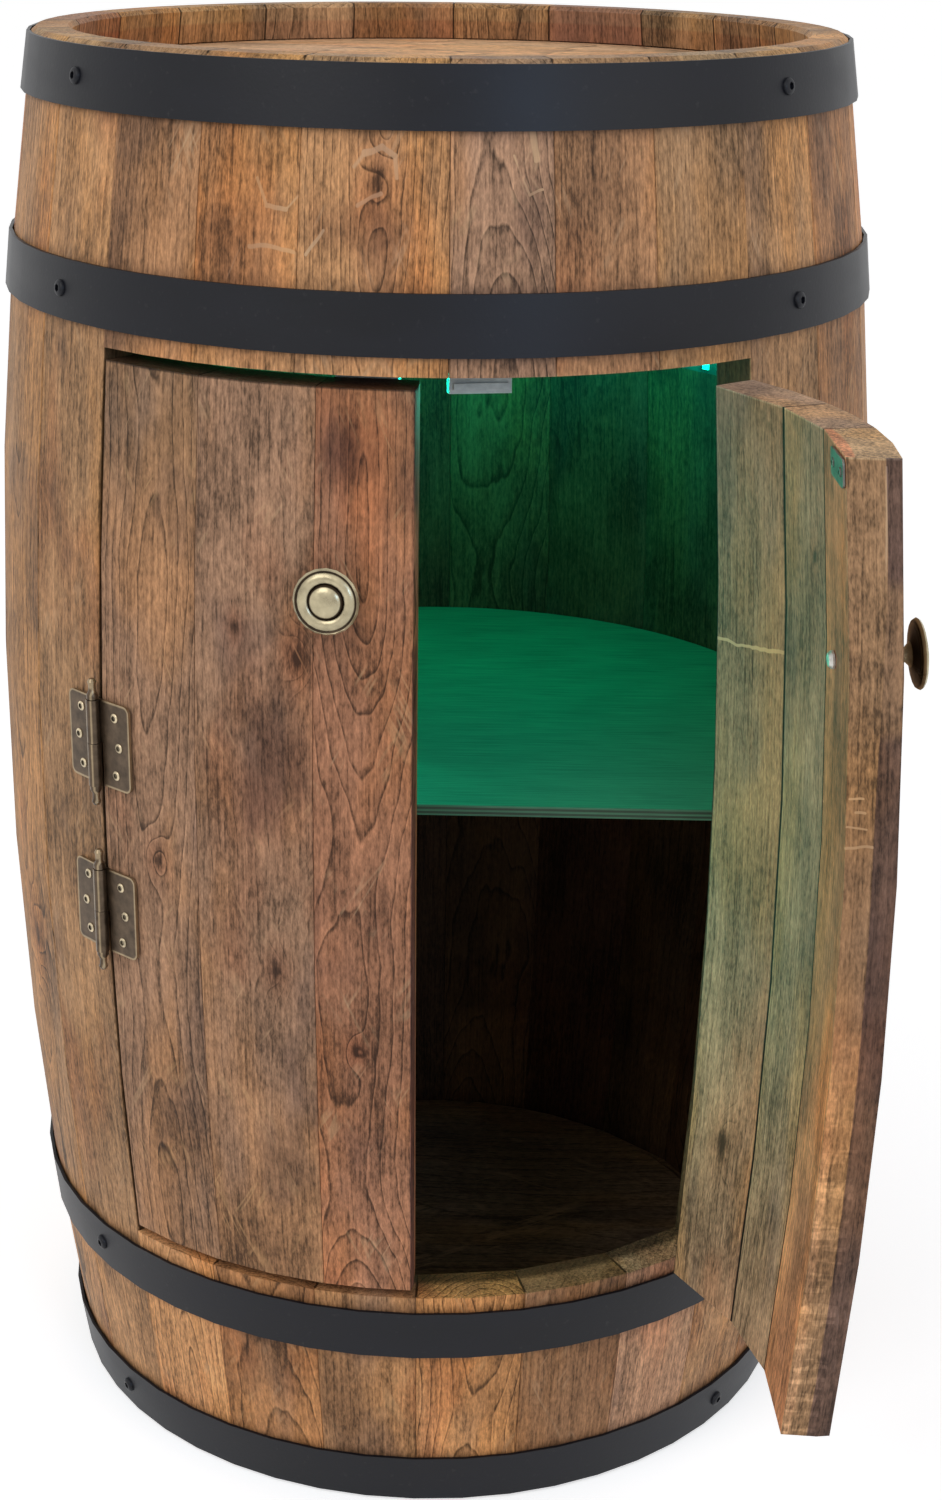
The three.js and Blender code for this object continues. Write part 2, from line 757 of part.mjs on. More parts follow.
function strikeGeometry(side, doorRow) {
  const edge = (doorMeetingGap / 2 + strikeFromEdge + strikeWidth / 2) / barrelRadius(doorTop);
  const angle = side * edge;
  const stave = staveAt(doorRow, angle);
  const [w, h, r] = [strikeWidth / 2, strikeHeight / 2, strikeCornerRadius];
  const outline = new THREE.Shape();
  outline.absarc(w - r, h - r, r, 0, Math.PI / 2);
  outline.absarc(r - w, h - r, r, Math.PI / 2, Math.PI);
  outline.absarc(r - w, r - h, r, Math.PI, -Math.PI / 2);
  outline.absarc(w - r, r - h, r, -Math.PI / 2, 0);
  outline.closePath();
  const plate = new THREE.ExtrudeGeometry(outline, {
    depth: strikeThickness,
    bevelEnabled: false,
    curveSegments: cornerSegments,
  });
  const middle = doorTop - strikeBelowDoorTop - h;
  const frame = innerFaceFrame(stave, angle, middle, bowedHeights(doorBottom, doorTop));
  return plate.translate(0, 0, seatGap).applyMatrix4(frame);
}

// Assembly

function place(parent, name, geometry, material) {
  const mesh = new THREE.Mesh(geometry, material);
  mesh.name = name;
  parent.add(mesh);
  return mesh;
}

function addBarrel(parent) {
  besideRow.forEach((row, i) => {
    place(parent, `stave_${i + 1}`, staveGeometry(fullOutline, row), woodMaterial);
  });
  upperRow.forEach((row, i) => {
    place(parent, `upper_stave_${i + 1}`, staveGeometry(upperOutline, row), woodMaterial);
  });
  lowerRow.forEach((row, i) => {
    place(parent, `lower_stave_${i + 1}`, staveGeometry(lowerOutline, row), woodMaterial);
  });
  place(parent, 'top_head', headGeometry(), lidMaterial);
  place(parent, 'bottom_head', turnedOver(headGeometry()), woodMaterial);
  const hoopBottoms = {
    hoop_bottom: endHoopInset,
    hoop_lower: middleHoopInset,
    hoop_upper: barrelHeight - middleHoopInset - hoopWidth,
    hoop_top: barrelHeight - endHoopInset - hoopWidth,
  };
  Object.entries(hoopBottoms).forEach(([name, bottom]) => {
    place(parent, name, hoopGeometry(bottom), hoopMaterial);
  });
}

function addInterior(parent) {
  place(parent, 'shelf', shelfGeometry(), shelfMaterial);
  place(parent, 'shelf_cleat_left', cleatGeometry(-1), woodMaterial);
  place(parent, 'shelf_cleat_right', cleatGeometry(1), woodMaterial);
  place(parent, 'light_strip', stripGeometry(), stripMaterial);
  place(parent, 'catch_left', catchGeometry(-1, leftDoorRow), catchMaterial);
  place(parent, 'catch_right', catchGeometry(1, rightDoorRow), catchMaterial);
}

function addDoor(parent, sideName, side, row) {
  row.forEach((span, i) => {
    const fromHinge = side > 0 ? row.length - i : i + 1;
    const atHinge = fromHinge === 1;
    const atFree = fromHinge === row.length;
    const hingeSide = atHinge ? hingeEdge : seamEdge;
    const freeSide = atFree ? freeEdge : seamEdge;
    const edges = side > 0 ? { fromEdge: freeSide, toEdge: hingeSide } : { fromEdge: hingeSide, toEdge: freeSide };
    const stave = staveGeometry(doorOutline, { ...span, ...edges });
    place(parent, `${sideName}_door_stave_${fromHinge}`, atFree ? boredStave(stave, side) : stave, woodMaterial);
  });
  const knob = place(parent, `${sideName}_knob`, knobGeometry(), brassMaterial);
  knob.applyMatrix4(knobFrame(side));
  const screw = place(parent, `${sideName}_knob_screw`, knobScrewGeometry(row, side), steelMaterial);
  screw.applyMatrix4(knobFrame(side));
  place(parent, `${sideName}_strike`, strikeGeometry(side, row), steelMaterial);
  Object.entries(hingeHeights).forEach(([level, height]) => {
    const leaf = leafGeometry(doorLeafSolid(), -1, height);
    place(parent, `${sideName}_${level}_door_leaf`, side > 0 ? leaf : mirrored(leaf), bronzeMaterial);
  });
}

function addFrameLeaves(parent, sideName, side) {
  Object.entries(hingeHeights).forEach(([level, height]) => {
    const leaf = leafGeometry(frameLeafSolid(), 1, height);
    place(parent, `${sideName}_${level}_frame_leaf`, side > 0 ? leaf : mirrored(leaf), bronzeMaterial);
  });
}

// The right-hand door stands open on its hinges
function swungOpen(degrees) {
  const pivot = new THREE.Group();
  const door = new THREE.Group();
  pivot.position.copy(hingeAxis);
  pivot.rotation.z = THREE.MathUtils.degToRad(degrees);
  door.position.copy(hingeAxis).negate();
  pivot.add(door);
  return { pivot, door };
}

const cabinet = new THREE.Group();
addBarrel(cabinet);
addInterior(cabinet);
addFrameLeaves(cabinet, 'left', -1);
addFrameLeaves(cabinet, 'right', 1);
addDoor(cabinet, 'left', -1, leftDoorRow);
const rightDoor = swungOpen(rightDoorRestDegrees);
cabinet.add(rightDoor.pivot);
addDoor(rightDoor.door, 'right', 1, rightDoorRow);

export default cabinet;
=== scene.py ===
import json
import math
from itertools import product

import bpy
from mathutils import Color, Euler, Matrix, Vector
from mathutils.bvhtree import BVHTree


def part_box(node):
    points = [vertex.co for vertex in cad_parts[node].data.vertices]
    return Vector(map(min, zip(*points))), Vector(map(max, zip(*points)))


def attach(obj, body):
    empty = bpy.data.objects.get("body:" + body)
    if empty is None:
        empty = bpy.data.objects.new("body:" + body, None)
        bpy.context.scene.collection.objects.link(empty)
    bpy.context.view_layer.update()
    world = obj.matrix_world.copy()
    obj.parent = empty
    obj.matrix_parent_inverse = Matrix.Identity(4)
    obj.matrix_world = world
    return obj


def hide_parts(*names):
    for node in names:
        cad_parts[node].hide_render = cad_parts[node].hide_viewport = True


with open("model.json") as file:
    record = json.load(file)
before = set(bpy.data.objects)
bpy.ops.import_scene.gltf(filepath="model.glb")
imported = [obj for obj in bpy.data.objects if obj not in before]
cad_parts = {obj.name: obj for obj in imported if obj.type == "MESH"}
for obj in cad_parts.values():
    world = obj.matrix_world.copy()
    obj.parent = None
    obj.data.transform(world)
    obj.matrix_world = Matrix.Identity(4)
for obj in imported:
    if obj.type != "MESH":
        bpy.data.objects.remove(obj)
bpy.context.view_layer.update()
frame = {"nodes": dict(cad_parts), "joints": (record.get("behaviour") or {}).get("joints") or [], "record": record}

bl_info = {
    "name": "Barrel bar cabinet",
    "version": (1, 0, 0),
    "blender": (4, 5, 0),
    "location": "3D View > Sidebar > Barrel cabinet",
    "description": "Finishes a coopered barrel cabinet in stained wood, black hoops, bronze and brass",
    "category": "Object",
}

MM = 0.001
WHITE = (1.0, 1.0, 1.0)
JOINTS = {joint["name"]: joint for joint in frame["joints"]}
BODY_OF = {
    node: body
    for body, nodes in frame["record"]["behaviour"]["bodies"].items()
    for node in nodes
}

# Wood tones, as seen on the stained staves
TONES = {
    "honey": (0.65, 0.475, 0.32),
    "ash": (0.61, 0.465, 0.33),
    "chestnut": (0.57, 0.415, 0.29),
    "umber": (0.51, 0.385, 0.28),
    "russet": (0.55, 0.38, 0.28),
    "drab": (0.55, 0.42, 0.325),
}

# How each figure is cut: pith across the stave and below its face and how far it wanders, ring
# spacing, all in metres, and the shares of the rings and of the clouds in the contrast
FIGURES = {
    "plain": (0.050, 0.040, 0.050, 0.0042, 0.20, 1.1),
    "flame": (0.003, 0.016, 0.095, 0.0046, 0.48, 1.0),
    "curly": (0.030, 0.050, 0.030, 0.0046, 0.20, 1.1),
    "board": (0.020, 0.030, 0.080, 0.0052, 0.30, 0.5),
}

# Tone, figure and lightness of each stave
STAVE_LOOKS = {
    "stave_1": ("ash", "plain", 1.0),
    "stave_2": ("chestnut", "plain", 1.0),
    "stave_3": ("honey", "flame", 0.97),
    "stave_4": ("umber", "plain", 1.05),
    "stave_5": ("chestnut", "flame", 1.04),
    "stave_6": ("ash", "plain", 0.96),
    "stave_7": ("russet", "plain", 1.0),
    "stave_8": ("honey", "flame", 0.94),
    "stave_9": ("chestnut", "plain", 0.96),
    "stave_10": ("umber", "flame", 1.1),
    "stave_11": ("ash", "plain", 1.0),
    "stave_12": ("honey", "plain", 0.95),
    "stave_13": ("russet", "flame", 1.04),
    "stave_14": ("chestnut", "plain", 1.0),
    "stave_15": ("ash", "flame", 0.98),
    "stave_16": ("ash", "plain", 0.99),
    "upper_stave_1": ("chestnut", "plain", 1.08),
    "upper_stave_2": ("honey", "plain", 1.03),
    "upper_stave_3": ("honey", "flame", 1.02),
    "upper_stave_4": ("drab", "flame", 1.06),
    "upper_stave_5": ("chestnut", "plain", 1.08),
    "upper_stave_6": ("ash", "plain", 1.0),
    "lower_stave_1": ("honey", "flame", 1.16),
    "lower_stave_2": ("chestnut", "flame", 1.08),
    "lower_stave_3": ("umber", "plain", 1.24),
    "lower_stave_4": ("honey", "flame", 1.12),
    "lower_stave_5": ("chestnut", "plain", 0.98),
    "lower_stave_6": ("drab", "plain", 1.28),
    "left_door_stave_1": ("drab", "flame", 1.04),
    "left_door_stave_2": ("drab", "plain", 1.04),
    "left_door_stave_3": ("russet", "flame", 1.05),
    "right_door_stave_1": ("drab", "plain", 0.98),
    "right_door_stave_2": ("drab", "plain", 1.0),
    "right_door_stave_3": ("ash", "curly", 0.97),
}

# Dark stains: across the stave from its middle, height, half width and half height, in millimetres,
# and strength
STAINS = {
    "upper_stave_3": [(-10, 722, 28, 12, 0.5)],
    "upper_stave_4": [(14, 733, 10, 18, 0.55)],
    "upper_stave_5": [(-4, 738, 15, 24, 0.4)],
    "left_door_stave_2": [(10, 459, 17, 42, 0.85)],
    "left_door_stave_3": [(-5, 616, 15, 22, 1.0)],
    "right_door_stave_3": [(-37, 415, 24, 80, 0.6)],
}

# Pale tool marks, chips and cracks, each from and to a place and a height, with its width, in
# millimetres: on the outside, on the inside or through the depth of a stave's edge
MARKS = {
    "upper_stave_2": ("outside", [
        (6, 744, 12, 731, 1.6),
        (12, 731, 23, 731, 2.2),
        (23, 731, 30, 738, 1.6),
        (3, 713, 28, 711, 2.0),
    ]),
    "upper_stave_3": ("outside", [
        (-10, 750, -5, 756, 2.6),
        (-5, 756, 4, 760, 3.0),
        (4, 760, 11, 756, 2.6),
        (11, 756, 12, 746, 2.2),
        (-35, 710, -26, 721, 1.6),
        (-8, 733, 4, 738, 2.0),
    ]),
    "upper_stave_4": ("outside", [
        (16, 767, 18, 756, 3.4),
        (6, 757, 14, 739, 1.2),
        (14, 739, 21, 742, 1.2),
    ]),
    "right_door_stave_1": ("inside", [
        (32, 519, 21, 520, 1.6),
        (21, 520, -2, 521, 1.5),
        (-2, 521, -32, 527, 1.9),
    ]),
    "right_door_stave_3": ("edge", [
        (17, 492, 23, 492, 1.1),
        (16, 485, 20, 485, 1.3),
        (15, 477, 24, 478, 0.9),
        (12, 469, 24, 468, 1.3),
        (8, 596, 7, 645, 0.9),
    ]),
}
UNMARKED = ("outside", ())

# Knots of the staves: across the stave from its middle, height and radius, in millimetres
KNOTS = {
    "upper_stave_3": [(2, 744, 6)],
    "left_door_stave_1": [(6, 390, 4)],
    "left_door_stave_2": [(-9, 526, 3), (25, 514, 5), (12, 342, 4)],
    "left_door_stave_3": [(2, 300, 3)],
    "right_door_stave_1": [(-1, 244, 7)],
    "right_door_stave_2": [(-13, 586, 3)],
    "stave_15": [(9, 300, 8)],
    "stave_3": [(-10, 520, 9)],
    "stave_8": [(6, 610, 8)],
    "stave_12": [(-8, 240, 9)],
}


class BarrelSizes(bpy.types.PropertyGroup):
    belly_radius: bpy.props.FloatProperty(
        name="Belly radius", description="Radius of the barrel at half height", default=253 * MM,
        unit="LENGTH",
    )
    end_radius: bpy.props.FloatProperty(
        name="End radius", description="Radius of the barrel at its ends", default=221 * MM,
        unit="LENGTH",
    )
    height: bpy.props.FloatProperty(
        name="Height", description="Height of the barrel, lid rim to floor",
        default=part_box("stave_1")[1].z, unit="LENGTH",
    )
    door_angle: bpy.props.FloatProperty(
        name="Open door", description="How far the right door stands open",
        default=math.radians(-JOINTS["right_door_hinge"]["range_deg"][0]), subtype="ANGLE",
    )
    opening_half_angle: bpy.props.FloatProperty(
        name="Half the opening", description="Angle from the middle of the opening to its side",
        default=math.radians(42.6), subtype="ANGLE",
    )


class ScrewSizes(bpy.types.PropertyGroup):
    hoop_radius: bpy.props.FloatProperty(
        name="Hoop screw radius", description="Radius of the button heads that hold the hoops",
        default=4.3 * MM, unit="LENGTH",
    )
    hoop_height: bpy.props.FloatProperty(
        name="Hoop screw height", description="How far a button head stands off its hoop",
        default=2.4 * MM, unit="LENGTH",
    )
    hoop_angle: bpy.props.FloatProperty(
        name="Hoop screw place", description="Angle from the front to the screws of a hoop",
        default=math.radians(51.5), subtype="ANGLE",
    )
    hinge_radius: bpy.props.FloatProperty(
        name="Hinge screw radius", description="Radius of the screw heads in the hinge leaves",
        default=2.6 * MM, unit="LENGTH",
    )
    hinge_height: bpy.props.FloatProperty(
        name="Hinge screw height", description="How far a screw head stands off its leaf",
        default=0.9 * MM, unit="LENGTH",
    )
    hinge_spacing: bpy.props.FloatProperty(
        name="Hinge screw spacing", description="Distance between the screws of a leaf along its height",
        default=16 * MM, unit="LENGTH",
    )
    hinge_reach: bpy.props.FloatProperty(
        name="Hinge screw reach",
        description="Distance of the outer screws of a leaf from the hinge pin", default=14 * MM,
        unit="LENGTH",
    )
    hinge_stagger: bpy.props.FloatProperty(
        name="Hinge screw stagger", description="How much further out the middle screw of a leaf is",
        default=2.8 * MM, unit="LENGTH",
    )
    plate_radius: bpy.props.FloatProperty(
        name="Plate screw radius",
        description="Radius of the screw heads in the strike plates and catches", default=2.3 * MM,
        unit="LENGTH",
    )


class CabinetColours(bpy.types.PropertyGroup):
    lid: bpy.props.FloatVectorProperty(
        name="Lid", description="Colour of the lid's wood", default=(0.80, 0.645, 0.495), size=3,
        subtype="COLOR_GAMMA",
    )
    # The shelf's colour is plywood tinted green, the green being painted light from the strip
    board: bpy.props.FloatVectorProperty(
        name="Shelf", description="Colour of the shelf's top", default=(0.25, 0.435, 0.32), size=3,
        subtype="COLOR_GAMMA",
    )
    # The hoops' black is made bluish as a painted reflection of a window
    hoop: bpy.props.FloatVectorProperty(
        name="Hoops", description="Colour of the paint on the hoops", default=(0.055, 0.059, 0.084),
        size=3, subtype="COLOR_GAMMA",
    )
    bronze: bpy.props.FloatVectorProperty(
        name="Bronze", description="Colour of the darkened bronze hinges", default=(0.355, 0.298, 0.24),
        size=3, subtype="COLOR_GAMMA",
    )
    # Also the colour of the painted highlight down the hinge knuckles
    worn_and_highlit_bronze: bpy.props.FloatVectorProperty(
        name="Worn bronze", description="Colour of the bronze where hands and edges have worn it",
        default=(0.66, 0.58, 0.46), size=3, subtype="COLOR_GAMMA",
    )
    brass: bpy.props.FloatVectorProperty(
        name="Brass", description="Colour of the antique brass knobs", default=(0.76, 0.71, 0.58),
        size=3, subtype="COLOR_GAMMA",
    )
    light: bpy.props.FloatVectorProperty(
        name="Light", description="Colour of the light inside", default=(0.0, 1.0, 0.84), size=3,
        subtype="COLOR_GAMMA",
    )


class StageSettings(bpy.types.PropertyGroup):
    camera_place: bpy.props.FloatVectorProperty(
        name="Camera", description="Where the camera stands", default=(0.0465, -1.4020, 0.8932), size=3,
        subtype="TRANSLATION",
    )
    camera_tilt: bpy.props.FloatProperty(
        name="Tilt", description="How far the camera looks down", default=0.3521, subtype="ANGLE",
    )
    camera_turn: bpy.props.FloatProperty(
        name="Turn", description="How far the camera is turned to its left", default=0.0176,
        subtype="ANGLE",
    )
    camera_roll: bpy.props.FloatProperty(
        name="Roll", description="How far the camera leans about its own line of sight", default=0.0136,
        subtype="ANGLE",
    )
    camera_lens: bpy.props.FloatProperty(
        name="Lens", description="Focal length on a sensor 36 mm high", default=59.12,
    )
    room_light: bpy.props.FloatProperty(
        name="Room light", description="Strength of the even light from all sides", default=0.55,
    )
    key_light: bpy.props.FloatProperty(
        name="Window light", description="Power of the large soft lamp at the upper left", default=26.0,
    )
    fill_light: bpy.props.FloatProperty(
        name="Fill light", description="Power of the soft lamp at the right", default=7.0,
    )
    blue_light: bpy.props.FloatProperty(
        name="Blue window",
        description="Power of the small bluish lamp that the hoops mirror at the right of their middle",
        default=6.0,
    )
    inside_light: bpy.props.FloatProperty(
        name="Inside light", description="Power of the light that the strip gives, all together",
        default=1.3,
    )
    door_glow: bpy.props.FloatProperty(
        name="Glow on the door",
        description="Power of the strip's light that falls on the inside of the open door", default=0.22,
    )


# Selects these objects and nothing else, the first one active
def only(*objects):
    bpy.ops.object.select_all(action="DESELECT")
    for each in objects:
        each.select_set(True)
    bpy.context.view_layer.objects.active = objects[0]


# Opens a piece in edit mode with just its top faces selected
def open_top(piece):
    only(piece)
    bpy.ops.object.mode_set(mode="EDIT")
    bpy.ops.mesh.select_mode(type="FACE")
    bpy.ops.mesh.select_all(action="DESELECT")
    bpy.ops.object.mode_set(mode="OBJECT")
    for face in piece.data.polygons:
        face.select = face.normal.z > 0.9
    bpy.ops.object.mode_set(mode="EDIT")


def close(piece):
    bpy.ops.object.mode_set(mode="OBJECT")
    return piece


# Extrudes the open faces along Z and draws them in or out to a share of their size
def raise_faces(height, share):
    bpy.ops.mesh.extrude_region_move(TRANSFORM_OT_translate={"value": (0, 0, height)})
    bpy.ops.transform.resize(value=(share, share, 1), center_override=(0, 0, 0))


def apply_modifier(piece, kind, **settings):
    only(piece)
    modifier = piece.modifiers.new(kind.title(), kind)
    for key, value in settings.items():
        setattr(modifier, key, value)
    bpy.ops.object.modifier_apply(modifier=modifier.name)


# A new object in the scene
def add_object(name, data):
    added = bpy.data.objects.new(name, data)
    bpy.context.scene.collection.objects.link(added)
    return added


# A smooth-shaded copy of a CAD node that stands for it in the picture, its creases in degrees
def surface_of(node, finish, crease=22):
    piece = add_object(f"{node}_surface", frame["nodes"][node].data.copy())
    only(piece)
    bpy.ops.object.mode_set(mode="EDIT")
    bpy.ops.mesh.select_all(action="SELECT")
    bpy.ops.mesh.remove_doubles(threshold=0.002 * MM)
    bpy.ops.object.mode_set(mode="OBJECT")
    bpy.ops.mesh.customdata_custom_splitnormals_clear()
    bpy.ops.object.shade_smooth_by_angle(angle=math.radians(crease))
    paint(piece, finish)
    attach(piece, BODY_OF[node])
    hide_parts(node)


def paint(piece, finish):
    piece.data.materials.clear()
    piece.data.materials.append(finish)


# Copies of a master piece at each place, joined to one piece that rides on a body
def set_out(master, name, places, body, finish):
    copies = []
    for place in places:
        copies.append(add_object(name, master.data.copy()))
        copies[-1].data.transform(place)
    only(*copies)
    if len(copies) > 1:
        bpy.ops.object.join()
    piece = copies[0]
    piece.name = name
    paint(piece, finish)
    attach(piece, body)


def discard(piece):
    only(piece)
    bpy.ops.object.delete()


# Where a line meets a CAD node, as a place whose Z axis is the surface's normal
def seat_on(node, start, toward):
    mesh = frame["nodes"][node].data
    tree = BVHTree.FromPolygons(
        [corner.co for corner in mesh.vertices],
        [face.vertices for face in mesh.polygons],
    )
    point, normal, _, _ = tree.ray_cast(start, toward)
    if point is None:
        raise RuntimeError(f"nothing to sit on at {node}")
    place = normal.to_track_quat("Z", "Y").to_matrix().to_4x4()
    place.translation = point
    return place


# Unit vector from the barrel's axis at an angle from the front, towards +X
def outward(angle):
    return Vector((math.sin(angle), -math.cos(angle), 0))


def along(angle):
    return Vector((math.cos(angle), math.sin(angle), 0))


def angle_of(place):
    return math.atan2(place.x, -place.y)


def hinge_axis(side):
    return Vector(JOINTS[f"{side}_door_hinge"]["pos_m"])


# The turn of a body from shut to its built position
def opened(body):
    if body != "right_door":
        return Matrix.Identity(4)
    pin = Matrix.Translation(hinge_axis("right"))
    turn = Matrix.Rotation(bpy.context.scene.barrel_sizes.door_angle, 4, "Z")
    return pin @ turn @ pin.inverted()


# Corners of a CAD node with the doors shut
def shut_corners(node):
    shut = opened(BODY_OF[node]).inverted()
    return [shut @ corner.co for corner in frame["nodes"][node].data.vertices]


# Middle angle and half angle of a stave
def stave_span(node):
    corners = shut_corners(node)
    middle = angle_of(sum((corner.xy.normalized() for corner in corners), Vector((0, 0))))
    back = Matrix.Rotation(-middle, 4, "Z")
    return middle, max(abs(angle_of(back @ corner)) for corner in corners)


def linear(colour):
    return tuple(Color(colour).from_srgb_to_scene_linear())


def times(colour, share):
    return tuple(min(1.0, channel * share) for channel in colour)


def rgba(colour):
    return (*linear(colour), 1.0)


# Nodes of one shader tree, added one at a time; each call gives the new node's output
class Nodes:
    def __init__(self, tree):
        self.tree = tree

    def node(self, kind, inputs=(), output=0, **settings):
        node = self.tree.nodes.new(kind)
        for key, value in settings.items():
            setattr(node, key, value)
        for socket, value in inputs:
            if isinstance(value, bpy.types.NodeSocket):
                self.tree.links.new(value, node.inputs[socket])
            else:
                node.inputs[socket].default_value = value
        return node.outputs[output]

    def sum(self, operation, *values, clamp=False):
        inputs = enumerate(values)
        return self.node("ShaderNodeMath", inputs, operation=operation, use_clamp=clamp)

    def times(self, first, second, clamp=False):
        return self.sum("MULTIPLY", first, second, clamp=clamp)

    def times_plus(self, first, second, third):
        return self.sum("MULTIPLY_ADD", first, second, third)

    def minus(self, first, second):
        return self.sum("SUBTRACT", first, second)

    def gap(self, first, second):
        return self.sum("ABSOLUTE", self.minus(first, second))

    def squares(self, first, second):
        return self.sum("ADD", self.times(first, first), self.times(second, second))

    def reach(self, first, second):
        return self.sum("SQRT", self.squares(first, second))

    # 1 where the camera looks straight at it, in a mirror or through glass, and 0 to other light
    def seen(self):
        rays = self.tree.nodes.new("ShaderNodeLightPath").outputs
        either = self.sum("MAXIMUM", rays["Is Camera Ray"], rays["Is Glossy Ray"])
        return self.sum("MAXIMUM", either, rays["Is Transmission Ray"])


# One material's nodes, on object coordinates
class Finish(Nodes):
    def __init__(self, name, roughness=0.5, metallic=0.0):
        self.material = bpy.data.materials.new(name)
        self.material.use_nodes = True
        super().__init__(self.material.node_tree)
        self.shader = self.tree.nodes["Principled BSDF"]
        self.shader.inputs["Roughness"].default_value = roughness
        self.shader.inputs["Metallic"].default_value = metallic
        self.place = self.tree.nodes.new("ShaderNodeTexCoord").outputs["Object"]

    # The place moved by a matrix, such as into a stave's or a knob's own frame
    def moved(self, matrix):
        turned = ("Rotation", matrix.to_euler())
        inputs = [("Vector", self.place), ("Location", matrix.to_translation()), turned]
        return self.node("ShaderNodeMapping", inputs)

    def split(self, vector):
        node = self.tree.nodes.new("ShaderNodeSeparateXYZ")
        self.tree.links.new(vector, node.inputs[0])
        return tuple(node.outputs)

    def join(self, x, y, z):
        return self.node("ShaderNodeCombineXYZ", [(0, x), (1, y), (2, z)])

    # 1 at the middle of a round spot, fading out past its radius
    def spot(self, squared, radius):
        return self.sum("EXPONENT", self.times(squared, -1 / radius**2))

    # Noise from 0 to 1 with its own scale, in spots per metre, along each axis
    def noise(self, place, scale, detail=2.0, roughness=0.55):
        stretched = self.node("ShaderNodeVectorMath", [(0, place), (1, scale)], operation="MULTIPLY")
        inputs = [("Vector", stretched), ("Scale", 1.0), ("Detail", detail), ("Roughness", roughness)]
        return self.node("ShaderNodeTexNoise", inputs)

    # 0 below one value, 1 above another and a soft step between
    def fade(self, value, low, high):
        inputs = [("Value", value), ("From Min", low), ("From Max", high)]
        return self.node("ShaderNodeMapRange", inputs, interpolation_type="SMOOTHSTEP")

    def blend(self, share, first, second, mode="MIX"):
        inputs = [(0, share), (6, first), (7, second)]
        return self.node("ShaderNodeMix", inputs, output=2, data_type="RGBA", blend_type=mode)

    # A colour multiplied by a tint where a mask says
    def tinted(self, first, mask, tint):
        return self.blend(mask, first, self.blend(1.0, first, (*tint, 1.0), "MULTIPLY"))

    def ramp(self, value, stops):
        node = self.tree.nodes.new("ShaderNodeValToRGB")
        self.tree.links.new(value, node.inputs[0])
        marks = node.color_ramp.elements
        while len(marks) < len(stops):
            marks.new(0.5)
        for mark, (at, colour) in zip(marks, stops):
            mark.position = at
            mark.color = (*colour, 1.0)
        return node.outputs[0]

    # Ramp of one colour, lighter or darker at each stop
    def shaded(self, value, colour, *stops):
        return self.ramp(value, [(at, times(colour, share)) for at, share in stops])

    def colour(self, value):
        self.tree.links.new(value, self.shader.inputs["Base Color"])

    def rough(self, value, low, high):
        inputs = [("Value", value), ("To Min", low), ("To Max", high)]
        spread = self.node("ShaderNodeMapRange", inputs)
        self.tree.links.new(spread, self.shader.inputs["Roughness"])

    def bump(self, height, strength, distance):
        inputs = [("Strength", strength), ("Distance", distance), ("Height", height)]
        normal = self.node("ShaderNodeBump", inputs)
        self.tree.links.new(normal, self.shader.inputs["Normal"])


# A finish of two tones in clouds, and the clouds
def two_toned(name, scale, detail, dark, pale, roughness=0.5):
    finish = Finish(name, roughness)
    cloud = finish.noise(finish.place, (scale, scale, scale), detail)
    finish.colour(finish.ramp(cloud, [(0.3, linear(dark)), (0.7, linear(pale))]))
    return finish, cloud


